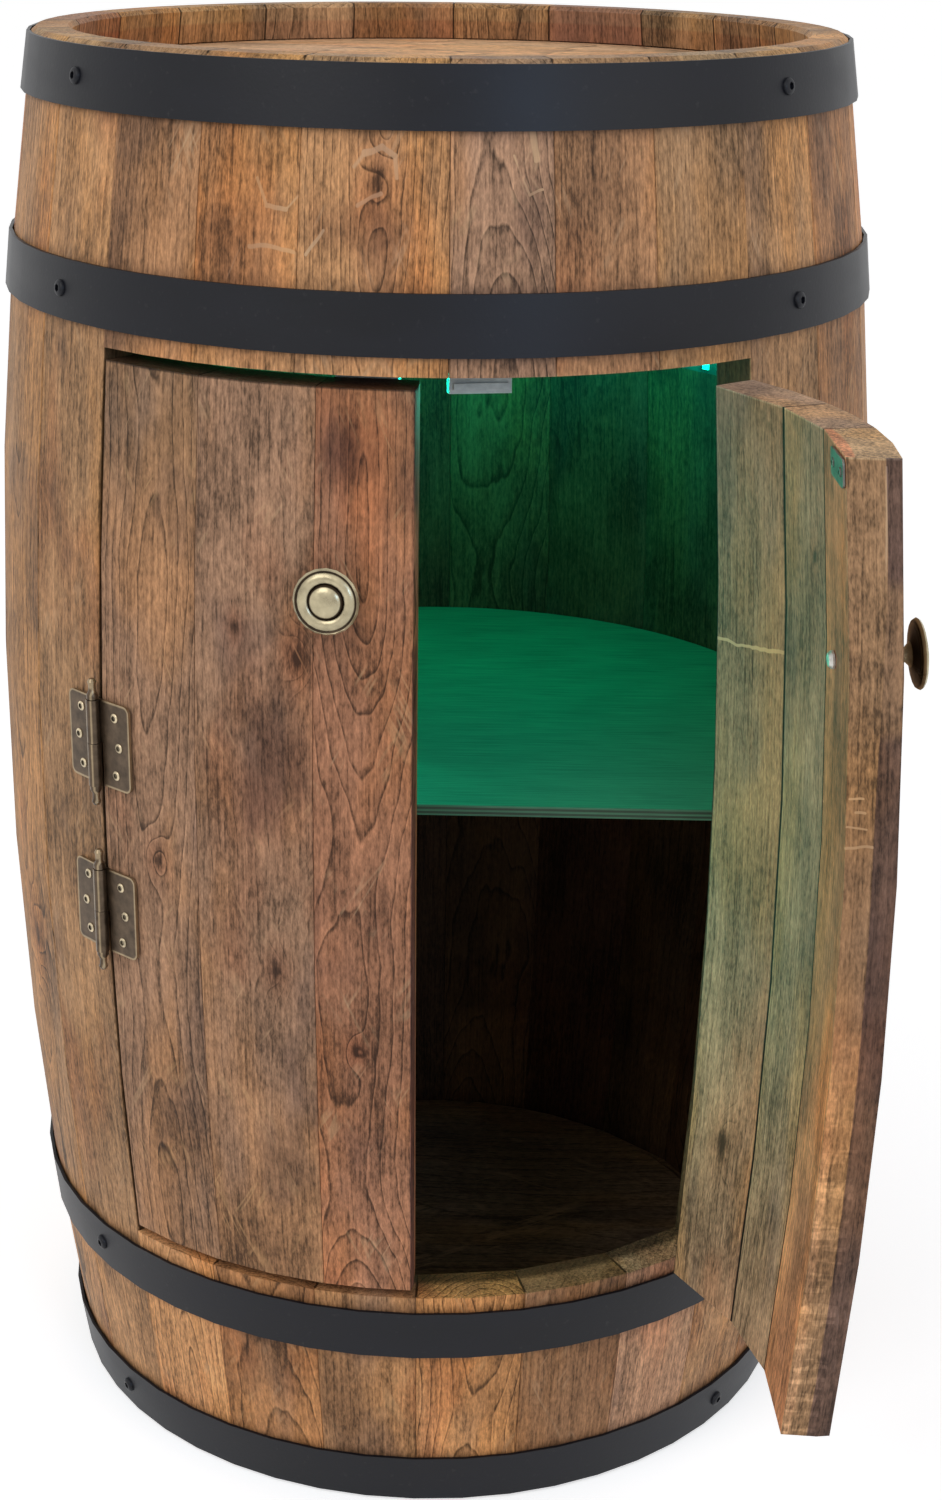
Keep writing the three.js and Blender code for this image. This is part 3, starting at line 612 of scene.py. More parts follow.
# Stained wood: growth rings about a pith line, fibres, saw marks, broad streaks and clouds of stain
def wood(finish, across, depth, height, tone, figure, seed, flaws=((), (), UNMARKED), rub=0.3, shades=()):
    knots, stains, marks = flaws
    pith_across, pith_depth, wander, spacing, ring_share, cloud_share = FIGURES[figure]
    shifted = finish.join(
        finish.sum("ADD", across, seed * 0.37),
        depth,
        finish.sum("ADD", height, seed * 0.91),
    )
    sway = finish.minus(finish.noise(shifted, (5, 5, 3.4), 1.0), 0.5)
    ripple = finish.minus(finish.noise(shifted, (45, 45, 14), 2.0), 0.5)
    rest = finish.sum("ADD", depth, finish.times_plus(sway, wander, pith_depth))
    heart, halo = 0.0, 0.0
    for place, level, radius in knots:
        aside = finish.minus(across, place * MM)
        above = finish.times(finish.minus(height, level * MM), 0.62)
        squared = finish.squares(aside, above)
        near = finish.spot(squared, 2.2 * radius * MM)
        rest = finish.times_plus(near, 2.4 * radius * MM, rest)
        heart = finish.sum("ADD", heart, finish.spot(squared, 0.7 * radius * MM))
        halo = finish.sum("ADD", halo, near)
    side = finish.times_plus(sway, 0.012, finish.minus(across, pith_across))
    radial = finish.times_plus(ripple, 0.007, finish.reach(side, rest))
    ring = finish.sum("FRACT", finish.times(radial, 1 / spacing))
    late = finish.shaded(ring, WHITE, (0.0, 0.2), (0.68, 0.35), (0.81, 1), (0.87, 0), (1.0, 0.2))
    fibre = finish.noise(shifted, (520, 520, 15), 3.0, 0.6)
    pores = finish.fade(finish.noise(shifted, (1000, 1000, 40), 1.0), 0.62, 0.72)
    level = finish.times_plus(late, -ring_share, 0.52 + 0.38 * ring_share)
    parts = [
        (fibre, 0.7),
        (finish.noise(shifted, (90, 90, 5), 2.0), 0.3),
        (finish.noise(shifted, (18, 18, 12), 4.0, 0.62), cloud_share),
        (finish.noise(shifted, (650, 650, 210), 2.0, 0.7), 1.0),
    ]
    if figure == "curly":
        parts.append((finish.noise(shifted, (30, 30, 85), 2.0), 0.45))
    for part, share in parts:
        level = finish.times_plus(finish.minus(part, 0.5), share, level)
    level = finish.times_plus(pores, -0.15, level)
    if knots:
        level = finish.times_plus(heart, -0.5, level)
    levels = (0.0, 0.16), (0.25, 0.4), (0.5, 1), (0.75, 1.58), (1.0, 2.2)
    stain = finish.shaded(level, linear(tone), *levels)
    pale = finish.times(scratches(finish, shifted), rub)
    sides = {"outside": (across, (16, 12)), "inside": (across, (12, 16)), "edge": (depth, (-2, -1))}
    face, lines = marks
    along, (least, most) = sides[face]
    for *ends, width in lines:
        line = streak(finish, along, height, ends, width, ripple)
        share = finish.fade(depth, least * MM, most * MM)
        pale = finish.times_plus(line, share, pale)
    stain = finish.blend(finish.sum("MINIMUM", pale, 0.8), stain, rgba((0.80, 0.65, 0.50)))
    tints = [
        ((15, 15, 5), 0.46, 0.62, (1.14, 1.03, 0.84)),
        ((14, 14, 6), 0.53, 0.70, (1.00, 0.86, 0.80)),
        ((19, 19, 9), 0.53, 0.68, (0.68, 0.70, 0.78)),
    ]
    for number, (scale, low, high, tint) in enumerate(tints):
        inputs = [(0, shifted), (1, (3.1 * number, 1.7, 5.3))]
        moved = finish.node("ShaderNodeVectorMath", inputs, operation="ADD")
        patch = finish.fade(finish.noise(moved, scale, 3.0), low, high)
        stain = finish.tinted(stain, patch, tint)
    if knots:
        stain = finish.tinted(stain, finish.times(halo, 0.6, clamp=True), (1.04, 0.80, 0.70))
    for place, level, half_width, half_height, strength in stains:
        aside = finish.times(finish.minus(across, place * MM), 1 / (half_width * MM))
        above = finish.times(finish.minus(height, level * MM), 1 / (half_height * MM))
        reach = finish.times_plus(ripple, 2.4, finish.reach(aside, above))
        share = finish.times(finish.fade(reach, 1.25, 0.35), strength)
        stain = finish.tinted(stain, share, (0.48, 0.47, 0.53))
    # The given shades tint the colour: dark joints and tones, and also painted shade and painted light
    for mask, tint in shades:
        stain = finish.tinted(stain, mask, tint)
    finish.colour(stain)
    finish.rough(fibre, 0.66, 0.46)
    finish.shader.inputs["Specular IOR Level"].default_value = 0.16
    relief = finish.times_plus(pores, -0.8, finish.times_plus(late, 0.35, fibre))
    finish.bump(relief, 0.35, 0.35 * MM)


# Line between two places on a face, its edge wavy
def streak(finish, along, height, ends, width, ripple):
    first, low, last, high = [value * MM for value in ends]
    length = math.hypot(last - first, high - low)
    ahead, upward = (last - first) / length, (high - low) / length
    aside = finish.minus(along, first)
    above = finish.minus(height, low)
    run = finish.times_plus(aside, ahead, finish.times(above, upward))
    run = finish.sum("MINIMUM", finish.sum("MAXIMUM", run, 0.0), length)
    past = finish.times_plus(run, -ahead, aside)
    over = finish.times_plus(run, -upward, above)
    over = finish.times_plus(ripple, 0.008, over)
    reach = finish.reach(past, over)
    return finish.fade(reach, width * 0.7 * MM, width * 0.3 * MM)


# Pale scratches in patches: contour lines of stretched noise, leaning to both sides
def scratches(finish, place):
    total = 0.0
    for lean in (0.5, -0.6):
        x, y, z = finish.split(place)
        over = finish.times_plus(z, lean, x)
        turned = finish.join(over, y, finish.times_plus(x, -lean, z))
        wave = finish.noise(turned, (110, 110, 9), 1.0)
        line = finish.fade(finish.gap(wave, 0.5), 0.045, 0.012)
        patch = finish.fade(finish.noise(turned, (36, 36, 24), 2.0), 0.56, 0.68)
        total = finish.times_plus(line, patch, total)
    return total


# Stave wood in the stave's own frame, so that its grain follows the bow
def stave_wood(node):
    sizes = bpy.context.scene.barrel_sizes
    tone, figure, lightness = STAVE_LOOKS[node]
    shade = times(TONES[tone], lightness)
    middle, half = stave_span(node)
    finish = Finish(f"{node}_wood")
    to_front = Matrix.Rotation(-middle, 4, "Z") @ opened(BODY_OF[node]).inverted()
    place = finish.moved(to_front)
    x, y, z = finish.split(place)
    turn = finish.sum("ARCTAN2", x, finish.times(y, -1.0))
    across = finish.times(turn, sizes.belly_radius)
    out = finish.reach(x, y)
    rise = finish.times_plus(z, 2 / sizes.height, -1.0)
    bulge = sizes.belly_radius - sizes.end_radius
    wall = finish.times_plus(finish.times(rise, rise), -bulge, sizes.belly_radius)
    depth = finish.minus(wall, out)
    reach = half * sizes.belly_radius
    rub = finish.times(finish.fade(depth, 10 * MM, 4 * MM), 0.34)
    seed = 1 + list(STAVE_LOOKS).index(node)
    shades_of = barrel_shades if BODY_OF[node] == "cabinet" else door_shades
    shades = shades_of(finish, node, across, depth, z, reach)
    flaws = KNOTS.get(node, ()), STAINS.get(node, ()), MARKS.get(node, UNMARKED)
    wood(finish, across, depth, z, shade, figure, seed, flaws, rub, shades)
    return finish.material


# The sides of a stave, which lie in its joints
def joint_side(finish, across, depth, reach):
    near = finish.fade(finish.sum("ABSOLUTE", across), reach - 0.9 * MM, reach - 0.4 * MM)
    return finish.times(near, finish.fade(depth, 1 * MM, 2 * MM))


# Darker wood above and below the hoops, a pale rim, and painted shade on the stave sides in the
# joints and on the inside of the barrel
def barrel_shades(finish, node, across, depth, height, reach):
    total = 0.0
    for level in ["bottom", "lower", "upper", "top"]:
        low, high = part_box(f"hoop_{level}")
        middle, half = (low.z + high.z) / 2, (high.z - low.z) / 2
        away = finish.gap(height, middle)
        total = finish.sum("ADD", total, finish.fade(away, half + 9 * MM, half))
    from_middle = finish.gap(height, 0.4)
    between = finish.fade(from_middle, 0.379, 0.377)
    # Painted shade: the inside wall of the barrel and the stave sides in the joints are darkened
    inside = finish.times(finish.fade(depth, 12 * MM, 19 * MM), between)
    side = joint_side(finish, across, depth, reach)
    shades = [
        (total, (0.8, 0.79, 0.8)),
        (finish.fade(from_middle, 0.389, 0.391), (1.1, 1.27, 1.3)),
        (finish.sum("MAXIMUM", inside, side), (0.25, 0.25, 0.25)),
    ]
    if node.startswith("stave"):
        shades.append((finish.fade(from_middle, 0.24, 0.28), (1.27, 1.22, 1.16)))
    return shades


# Dark joints inside the doors, painted shade on the stave sides in the joints, a dark outer strip
# on their free edges, painted light low on their insides, and end grain in painted shade on the shut
# door and pale on the open one, whose edge shows saw cuts across it
def door_shades(finish, node, across, depth, height, reach):
    near = finish.sum("ABSOLUTE", across)
    within = finish.fade(depth, 19.5 * MM, 21 * MM)
    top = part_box(node)[1].z
    # Painted shade darkens the shut door's end grain; the open door's end grain is pale
    painted_shade_or_pale_end_grain = (0.25, 0.25, 0.25) if BODY_OF[node] == "left_door" else (1.6, 1.85, 2.0)
    shades = [(finish.fade(height, top - 1.2 * MM, top - 0.2 * MM), painted_shade_or_pale_end_grain)]
    if node.endswith("stave_3"):
        widening = finish.times(finish.fade(height, 0.62, 0.47), 4.5 * MM)
        outer = finish.fade(finish.minus(depth, widening), 7.4 * MM, 6.8 * MM)
        at_edge = finish.fade(near, reach - 2.2 * MM, reach - 1.6 * MM)
        gone = finish.fade(finish.gap(height, 0.557), 0.04, 0.03)
        share = finish.times(at_edge, finish.times_plus(gone, -0.65, 1.0))
        shades.append((finish.times(outer, share), (0.41, 0.41, 0.57)))
    else:
        joint = finish.fade(near, reach - 1.3 * MM, reach - 0.6 * MM)
        shades.append((finish.times(joint, within), (0.12, 0.12, 0.12)))
        # Painted shade on the stave sides in the joints
        shades.append((joint_side(finish, across, depth, reach), (0.25, 0.25, 0.25)))
    # Painted light: the lower inside of the doors is brightened
    painted_light_low_inside = finish.times(within, finish.fade(height, 0.42, 0.24))
    shades.append((painted_light_low_inside, (1.55, 1.5, 1.52)))
    if node in ("left_door_stave_1", "left_door_stave_3"):
        shades.append((finish.fade(height, 0.54, 0.62), (0.77, 0.82, 0.85)))
    if node == "left_door_stave_3":
        shades.append((finish.fade(height, 0.3, 0.2), (1.2, 1.22, 1.24)))
    if node == "right_door_stave_3":
        off_edge = finish.fade(near, reach - 0.5 * MM, reach - 1.5 * MM)
        shades.append((finish.times(within, off_edge), (1.2, 0.82, 0.78)))
        sawn = finish.noise(finish.join(0.0, depth, height), (1, 38, 190), 2.0)
        cuts = finish.times(finish.fade(sawn, 0.52, 0.6), finish.fade(height, 0.4, 0.24))
        inner_half = finish.times(at_edge, finish.fade(depth, 7 * MM, 8 * MM))
        shades.append((finish.times(cuts, inner_half), (1.42, 1.44, 1.46)))
    return shades


# Board whose grain runs along X
def board_wood(name, tone, seed):
    finish = Finish(name)
    x, y, z = finish.split(finish.place)
    wood(finish, y, z, x, tone, "board", seed)
    return finish.material


def plywood(name, tone):
    finish = Finish(name, roughness=0.6)
    _, _, z = finish.split(finish.place)
    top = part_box("shelf")[1].z
    fibre = finish.noise(finish.place, (20, 700, 700), 3.0, 0.6)
    cloud = finish.noise(finish.place, (25, 60, 60), 3.0)
    level = finish.times_plus(cloud, 0.4, finish.times_plus(fibre, 0.6, 0.0))
    face = finish.shaded(level, linear(tone), (0.25, 0.5), (0.5, 1), (0.8, 1.5))
    layer = finish.times(finish.minus(top, z), 1 / (1.25 * MM))
    bands = finish.ramp(
        finish.sum("FRACT", finish.times(layer, 0.5)),
        [(0.0, (1, 1, 1)), (0.42, (1, 1, 1)), (0.5, (0.3, 0.26, 0.22)), (0.95, (0.38, 0.32, 0.27))],
    )
    inside = finish.fade(layer, 0.3, 0.6)
    finish.colour(finish.blend(inside, face, finish.blend(1.0, face, bands, "MULTIPLY")))
    finish.rough(fibre, 0.7, 0.5)
    finish.bump(fibre, 0.3, 0.2 * MM)
    return finish.material


# Powder paint on steel, its black made bluish as a painted reflection of a window: fine orange-peel,
# dust and dull patches from rubbing
def hoop_paint():
    finish = Finish("hoop_paint", roughness=0.42)
    shade = linear(bpy.context.scene.cabinet_colours.hoop)
    cloud = finish.noise(finish.place, (9, 9, 30), 4.0)
    dust = finish.fade(finish.noise(finish.place, (260, 260, 260), 3.0), 0.62, 0.78)
    body = finish.shaded(cloud, shade, (0.3, 0.8), (0.7, 1.3))
    finish.colour(finish.blend(finish.times(dust, 0.25), body, rgba((0.26, 0.25, 0.25))))
    finish.rough(cloud, 0.34, 0.52)
    finish.bump(finish.noise(finish.place, (520, 520, 520), 3.0), 0.3, 0.2 * MM)
    finish.shader.inputs["Specular IOR Level"].default_value = 0.26
    return finish.material


# How far a face is sunk in a screw's drive
def sunk_share(finish):
    return finish.node("ShaderNodeAttribute", output=2, attribute_name="sunk")


# Aged metal: cloudy, with a second tone where a mask says
def aged_metal(name, dark, worn=None, mask=None, roughness=(0.34, 0.55)):
    finish = Finish(name, metallic=0.85)
    cloud = finish.noise(finish.place, (160, 160, 160), 4.0)
    grain = finish.noise(finish.place, (900, 900, 900), 2.0)
    body = finish.shaded(cloud, linear(dark), (0.3, 0.55), (0.55, 1), (0.8, 1.5))
    if mask is not None:
        share = finish.times(mask(finish), finish.times_plus(cloud, 0.9, 0.35), clamp=True)
        body = finish.blend(share, body, rgba(worn))
    finish.colour(body)
    finish.rough(cloud, *roughness)
    finish.bump(grain, 0.15, 0.1 * MM)
    return finish.material


# Frame of a hinge leaf: X away from the pin, Y outwards, Z along the pin, from the pin's middle
def leaf_frame(node):
    sizes = bpy.context.scene.barrel_sizes
    side = node.split("_")[0]
    pin = hinge_axis(side)
    low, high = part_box(node)
    half_width = 12.5 * MM
    lean = math.atan2(half_width, pin.xy.length)
    sign = 1 if side == "right" else -1
    away = sign if "frame" in node else -sign
    angle = sign * sizes.opening_half_angle + away * lean
    place = Matrix.Identity(4)
    place.col[0].xyz = along(angle) * away
    place.col[1].xyz = outward(angle)
    place.col[2].xyz = Vector((0, 0, -away))
    place.translation = Vector((pin.x, pin.y, (low.z + high.z) / 2))
    return opened(BODY_OF[node]) @ place


# Bronze of one leaf, worn along its raised outer edge, with a painted highlight in a line down its
# knuckles, and paler at one tip of its pin
def leaf_bronze(node):
    colours = bpy.context.scene.cabinet_colours
    into = leaf_frame(node).inverted()
    width, half, corner = 25 * MM, 24 * MM, 4 * MM

    def worn_edge_and_highlight(finish):
        x, _, z = finish.split(finish.moved(into))
        past_x = finish.sum("MAXIMUM", finish.sum("ADD", finish.sum("ABSOLUTE", x), corner - width), 0.0)
        past_z = finish.sum("MAXIMUM", finish.sum("ADD", finish.sum("ABSOLUTE", z), corner - half), 0.0)
        corner_reach = finish.reach(past_x, past_z)
        rim = finish.fade(corner_reach, corner - 1.4 * MM, corner - 0.6 * MM)
        beside = finish.sum("ABSOLUTE", x)
        rim = finish.times(rim, finish.fade(beside, 4 * MM, 6 * MM))
        # A painted highlight: a pale line down the knuckle
        off_line = finish.gap(beside, 1.8 * MM)
        painted_highlight_line = finish.times(finish.fade(off_line, 0.7 * MM, 0.2 * MM), 0.9)
        tip = finish.fade(z, half + 5 * MM, half + 7 * MM)
        return finish.sum("MAXIMUM", rim, finish.sum("MAXIMUM", painted_highlight_line, tip))

    name = node.replace("leaf", "bronze")
    return aged_metal(name, colours.bronze, colours.worn_and_highlit_bronze, worn_edge_and_highlight, (0.24, 0.44))


def add_cylinder(sides, radius, depth, middle):
    bpy.ops.object.select_all(action="DESELECT")
    place = (0, 0, middle)
    bpy.ops.mesh.primitive_cylinder_add(vertices=sides, radius=radius, depth=depth, location=place)
    return bpy.context.object


# Screw head at the origin, standing on Z, domed in steps of rise and share, with a hollow drive
# of that many sides
def screw_head(name, radius, height, hollow, sides, dome):
    head = add_cylinder(24, radius, height * 0.5, height * 0.25 - 0.1 * MM)
    head.name = name
    bpy.ops.object.transform_apply(location=True, rotation=True, scale=True)
    open_top(head)
    for rise, share in dome:
        raise_faces(height * rise, share)
    close(head)
    drive = add_cylinder(sides, radius * hollow, height * 1.2, height * 0.95)
    apply_modifier(head, "BOOLEAN", operation="DIFFERENCE", solver="EXACT", object=drive)
    discard(drive)
    only(head)
    sunk = head.data.attributes.new("sunk", "FLOAT", "FACE")
    for face in head.data.polygons:
        if face.center.xy.length < 1.02 * radius * hollow and 0 < face.center.z < 0.95 * height:
            sunk.data[face.index].value = 1.0
    bpy.ops.object.shade_smooth_by_angle(angle=math.radians(35))
    return head


# A lamp at a place, turned towards an aim where it has one
def add_lamp(name, kind, place, power, colour, aim=None, **settings):
    lamp = bpy.data.lights.new(name, kind)
    lamp.energy = power
    lamp.color = colour
    for key, value in settings.items():
        setattr(lamp, key, value)
    holder = add_object(name, lamp)
    holder.location = place
    if aim:
        toward = Vector(aim) - Vector(place)
        holder.rotation_euler = toward.to_track_quat("-Z", "Y").to_euler()


class StavesOperator(bpy.types.Operator):
    """Finishes the staves of the barrel and of both doors in stained wood"""

    bl_idname = "cabinet.staves"
    bl_label = "Staves"

    def execute(self, context):
        for node in STAVE_LOOKS:
            surface_of(node, stave_wood(node))
        reed, _ = two_toned("joint_reed", 60, 3.0, (0.10, 0.07, 0.05), (0.17, 0.12, 0.08), 0.8)
        for group in ["stave", "left_door_stave", "right_door_stave"]:
            self.seal_joints(group, reed.material)
        return {"FINISHED"}

    # A strip of reed in each joint that would let light through
    def seal_joints(self, group, reed):
        nodes = [node for node in STAVE_LOOKS if node.startswith(f"{group}_")]
        spans = sorted((middle % math.tau, half) for middle, half in map(stave_span, nodes))
        body = BODY_OF[nodes[0]]
        places = []
        for (first, first_half), (last, last_half) in zip(spans, spans[1:]):
            joint = (first + first_half + last - last_half) / 2
            places.append(opened(body) @ Matrix.Rotation(joint, 4, "Z"))
        low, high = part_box(nodes[0])
        strip = self.strip(low.z + 3 * MM, high.z - 3 * MM)
        set_out(strip, f"{group}_seals", places, body, reed)
        discard(strip)

    # Thin strip inside the wall at the front, bowed like the staves
    def strip(self, low, high):
        sizes = bpy.context.scene.barrel_sizes
        depth, width = 12 * MM, 8 * MM
        bpy.ops.mesh.primitive_grid_add(x_subdivisions=1, y_subdivisions=24, size=1)
        strip = bpy.context.object
        for corner in strip.data.vertices:
            height = low + (corner.co.y + 0.5) * (high - low)
            rise = 2 * height / sizes.height - 1
            radius = sizes.belly_radius - (sizes.belly_radius - sizes.end_radius) * rise**2
            corner.co = (0, depth + width * corner.co.x - radius, height)
        apply_modifier(strip, "SOLIDIFY", thickness=0.36 * MM, offset=0)
        return strip


class LidOperator(bpy.types.Operator):
    """Finishes the lid and the bottom in lighter boards"""

    bl_idname = "cabinet.lid"
    bl_label = "Lid and bottom"

    def execute(self, context):
        tone = tuple(context.scene.cabinet_colours.lid)
        # The bottom's boards take 0.55 of the lid's tone, darkened as painted shade inside the barrel
        for seed, (node, share) in enumerate([("top_head", 1.0), ("bottom_head", 0.55)]):
            surface_of(node, board_wood(f"{node}_wood", times(tone, share), 40 + seed))
        return {"FINISHED"}


class ShelfOperator(bpy.types.Operator):
    """Finishes the plywood shelf and the battens that carry it"""

    bl_idname = "cabinet.shelf"
    bl_label = "Shelf"

    def execute(self, context):
        # The shelf's tone carries painted green light from the strip
        tone = tuple(context.scene.cabinet_colours.board)
        surface_of("shelf", plywood("shelf_plywood", tone))
        for seed, side in enumerate(["left", "right"]):
            node = f"shelf_cleat_{side}"
            surface_of(node, board_wood(f"{node}_wood", TONES["umber"], 50 + seed))
        return {"FINISHED"}


class HoopsOperator(bpy.types.Operator):
    """Finishes the four hoops and puts in their screws and the rivets of their laps"""

    bl_idname = "cabinet.hoops"
    bl_label = "Hoops"

    def execute(self, context):
        screws = context.scene.screw_sizes
        finish = hoop_paint()
        radius, height = screws.hoop_radius, screws.hoop_height
        dome = [(0.2, 0.93), (0.2, 0.85), (0.1, 0.72)]
        head = screw_head("hoop_screw", radius, height, 0.48, 6, dome)
        dome = [(0.2, 0.9), (0.2, 0.8), (0.1, 0.6)]
        rivet = screw_head("hoop_rivet", radius, height, 0.2, 8, dome)
        for level in ["bottom", "lower", "upper", "top"]:
            node = f"hoop_{level}"
            surface_of(node, finish, crease=30)
            turns = [screws.hoop_angle, math.pi - screws.hoop_angle]
            places = self.seats(node, [sign * turn for turn in turns for sign in (1, -1)])
            set_out(head, f"{node}_screws", places, "cabinet", finish)
            step = 3.4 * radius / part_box(node)[1].x
            places = self.seats(node, [math.pi - step, math.pi + step])
            set_out(rivet, f"{node}_rivets", places, "cabinet", finish)
        discard(head)
        discard(rivet)
        return {"FINISHED"}

    def seats(self, node, angles):
        low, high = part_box(node)
        middle = Vector((0, 0, (low.z + high.z) / 2))
        return [seat_on(node, middle + outward(angle), -outward(angle)) for angle in angles]


class HingesOperator(bpy.types.Operator):
    """Finishes the hinge leaves in worn bronze and puts in three screws each"""

    bl_idname = "cabinet.hinges"
    bl_label = "Hinges"

    def execute(self, context):
        screws = context.scene.screw_sizes
        radius, height = screws.hinge_radius, screws.hinge_height
        head = screw_head("hinge_screw", radius, height, 0.46, 8, [(0.35, 0.86), (0.15, 0.7)])
        # The faces sunk in the drive take the dark tone as painted shade
        pale, dark = (0.84, 0.77, 0.64), (0.10, 0.07, 0.05)
        finish = aged_metal("hinge_screw_metal", pale, dark, sunk_share, (0.25, 0.4))
        for side, level, part in product(["left", "right"], ["upper", "lower"], ["frame", "door"]):
            node = f"{side}_{level}_{part}_leaf"
            surface_of(node, leaf_bronze(node), crease=40)
            name = node.replace("leaf", "screws")
            set_out(head, name, self.seats(screws, node), BODY_OF[node], finish)
        discard(head)
        return {"FINISHED"}

    def seats(self, screws, node):
        leaf = leaf_frame(node)
        clear = 50 * MM
        places = []
        for step in (-1, 0, 1):
            reach = screws.hinge_reach + (screws.hinge_stagger if step == 0 else 0)
            start = leaf @ Vector((reach, clear, step * screws.hinge_spacing))
            places.append(seat_on(node, start, -leaf.col[1].xyz))
        return places


class KnobsOperator(bpy.types.Operator):
    """Finishes the knobs in antique brass and their screws in bright steel"""

    bl_idname = "cabinet.knobs"
    bl_label = "Knobs"

    def execute(self, context):
        for node in ["left_knob", "right_knob"]:
            surface_of(node, self.brass(node), crease=50)
            finish = aged_metal(f"{node}_screw_steel", (0.86, 0.85, 0.82))
            surface_of(f"{node}_screw", finish, crease=30)
        return {"FINISHED"}

    # Frame of a knob: Z along its axis, from the middle of its face
    def knob_frame(self, node):
        sizes = bpy.context.scene.barrel_sizes
        corners = shut_corners(node)
        angle = angle_of(sum(corners, Vector()) / len(corners))
        face = max(corners, key=lambda each: each.dot(outward(angle)))
        rise = 2 * face.z / sizes.height - 1
        bulge = sizes.belly_radius - sizes.end_radius
        tilt = math.atan(4 * bulge * rise / sizes.height)
        normal = outward(angle) * math.cos(tilt) + Vector((0, 0, math.sin(tilt)))
        place = normal.to_track_quat("Z", "Y").to_matrix().to_4x4()
        place.translation = face
        return opened(BODY_OF[node]) @ place

    # Bright on the disc's rings and on the stem, dark in the grooves, and painted shade behind the disc
    def brass(self, node):
        colours = bpy.context.scene.cabinet_colours
        into = self.knob_frame(node).inverted()
        disc = 16.8 * MM

        def polish_and_shade(finish):
            x, y, z = finish.split(finish.moved(into))
            radius = finish.reach(x, y)
            stem = finish.fade(radius, 6.5 * MM, 5.5 * MM)
            # Painted shade: the back of the disc, behind its face, takes the dark tone
            bright = finish.sum("MAXIMUM", finish.fade(z, -5.5 * MM, -4.0 * MM), stem)
            share = finish.times(radius, 1 / disc)
            rings = [(0.0, 1), (0.44, 1), (0.47, 0), (0.545, 0), (0.58, 1), (0.84, 0.9), (0.87, 0)]
            rings += [(0.92, 0), (0.945, 1)]
            return finish.times(finish.shaded(share, WHITE, *rings), bright)

        dark = (0.20, 0.155, 0.105)
        return aged_metal(f"{node}_brass", dark, colours.brass, polish_and_shade, (0.22, 0.36))


class CatchesOperator(bpy.types.Operator):
    """Finishes the magnetic catches, pole plates and all, in one plastic, and the strike plates with their screws
    """

    bl_idname = "cabinet.catches"
    bl_label = "Catches"

    def execute(self, context):
        plastic = self.plastic()
        # The faces sunk in a screw's drive take the dark tone as painted shade
        pale, dark = (0.46, 0.45, 0.42), (0.16, 0.16, 0.15)
        steel = aged_metal("plate_steel", pale, dark, sunk_share, (0.32, 0.5))
        radius = context.scene.screw_sizes.plate_radius
        head = screw_head("plate_screw", radius, 0.8 * MM, 0.45, 8, [(0.35, 0.85), (0.15, 0.7)])
        for side in ["left", "right"]:
            surface_of(f"catch_{side}", plastic, crease=30)
            node = f"{side}_strike"
            surface_of(node, steel, crease=30)
            set_out(head, f"{node}_screws", self.seats(node), BODY_OF[node], steel)
        discard(head)
        return {"FINISHED"}

    def plastic(self):
        grey, pale = (0.60, 0.62, 0.60), (0.76, 0.78, 0.75)
        finish, cloud = two_toned("catch_plastic", 120, 3.0, grey, pale, 0.35)
        finish.rough(cloud, 0.28, 0.42)
        finish.shader.inputs["Subsurface Weight"].default_value = 0.25
        finish.shader.inputs["Subsurface Radius"].default_value = (0.004, 0.004, 0.004)
        return finish.material

    # Two places on a strike plate, either side of its middle
    def seats(self, node):
        turn = opened(BODY_OF[node])
        corners = shut_corners(node)
        centre = sum(corners, Vector()) / len(corners)
        angle = angle_of(centre)
        clear, half_spacing = 30 * MM, 9 * MM
        before = centre - outward(angle) * clear
        toward = turn.to_3x3() @ outward(angle)
        starts = [before + along(angle) * aside for aside in (-half_spacing, half_spacing)]
        return [seat_on(node, turn @ start, toward) for start in starts]


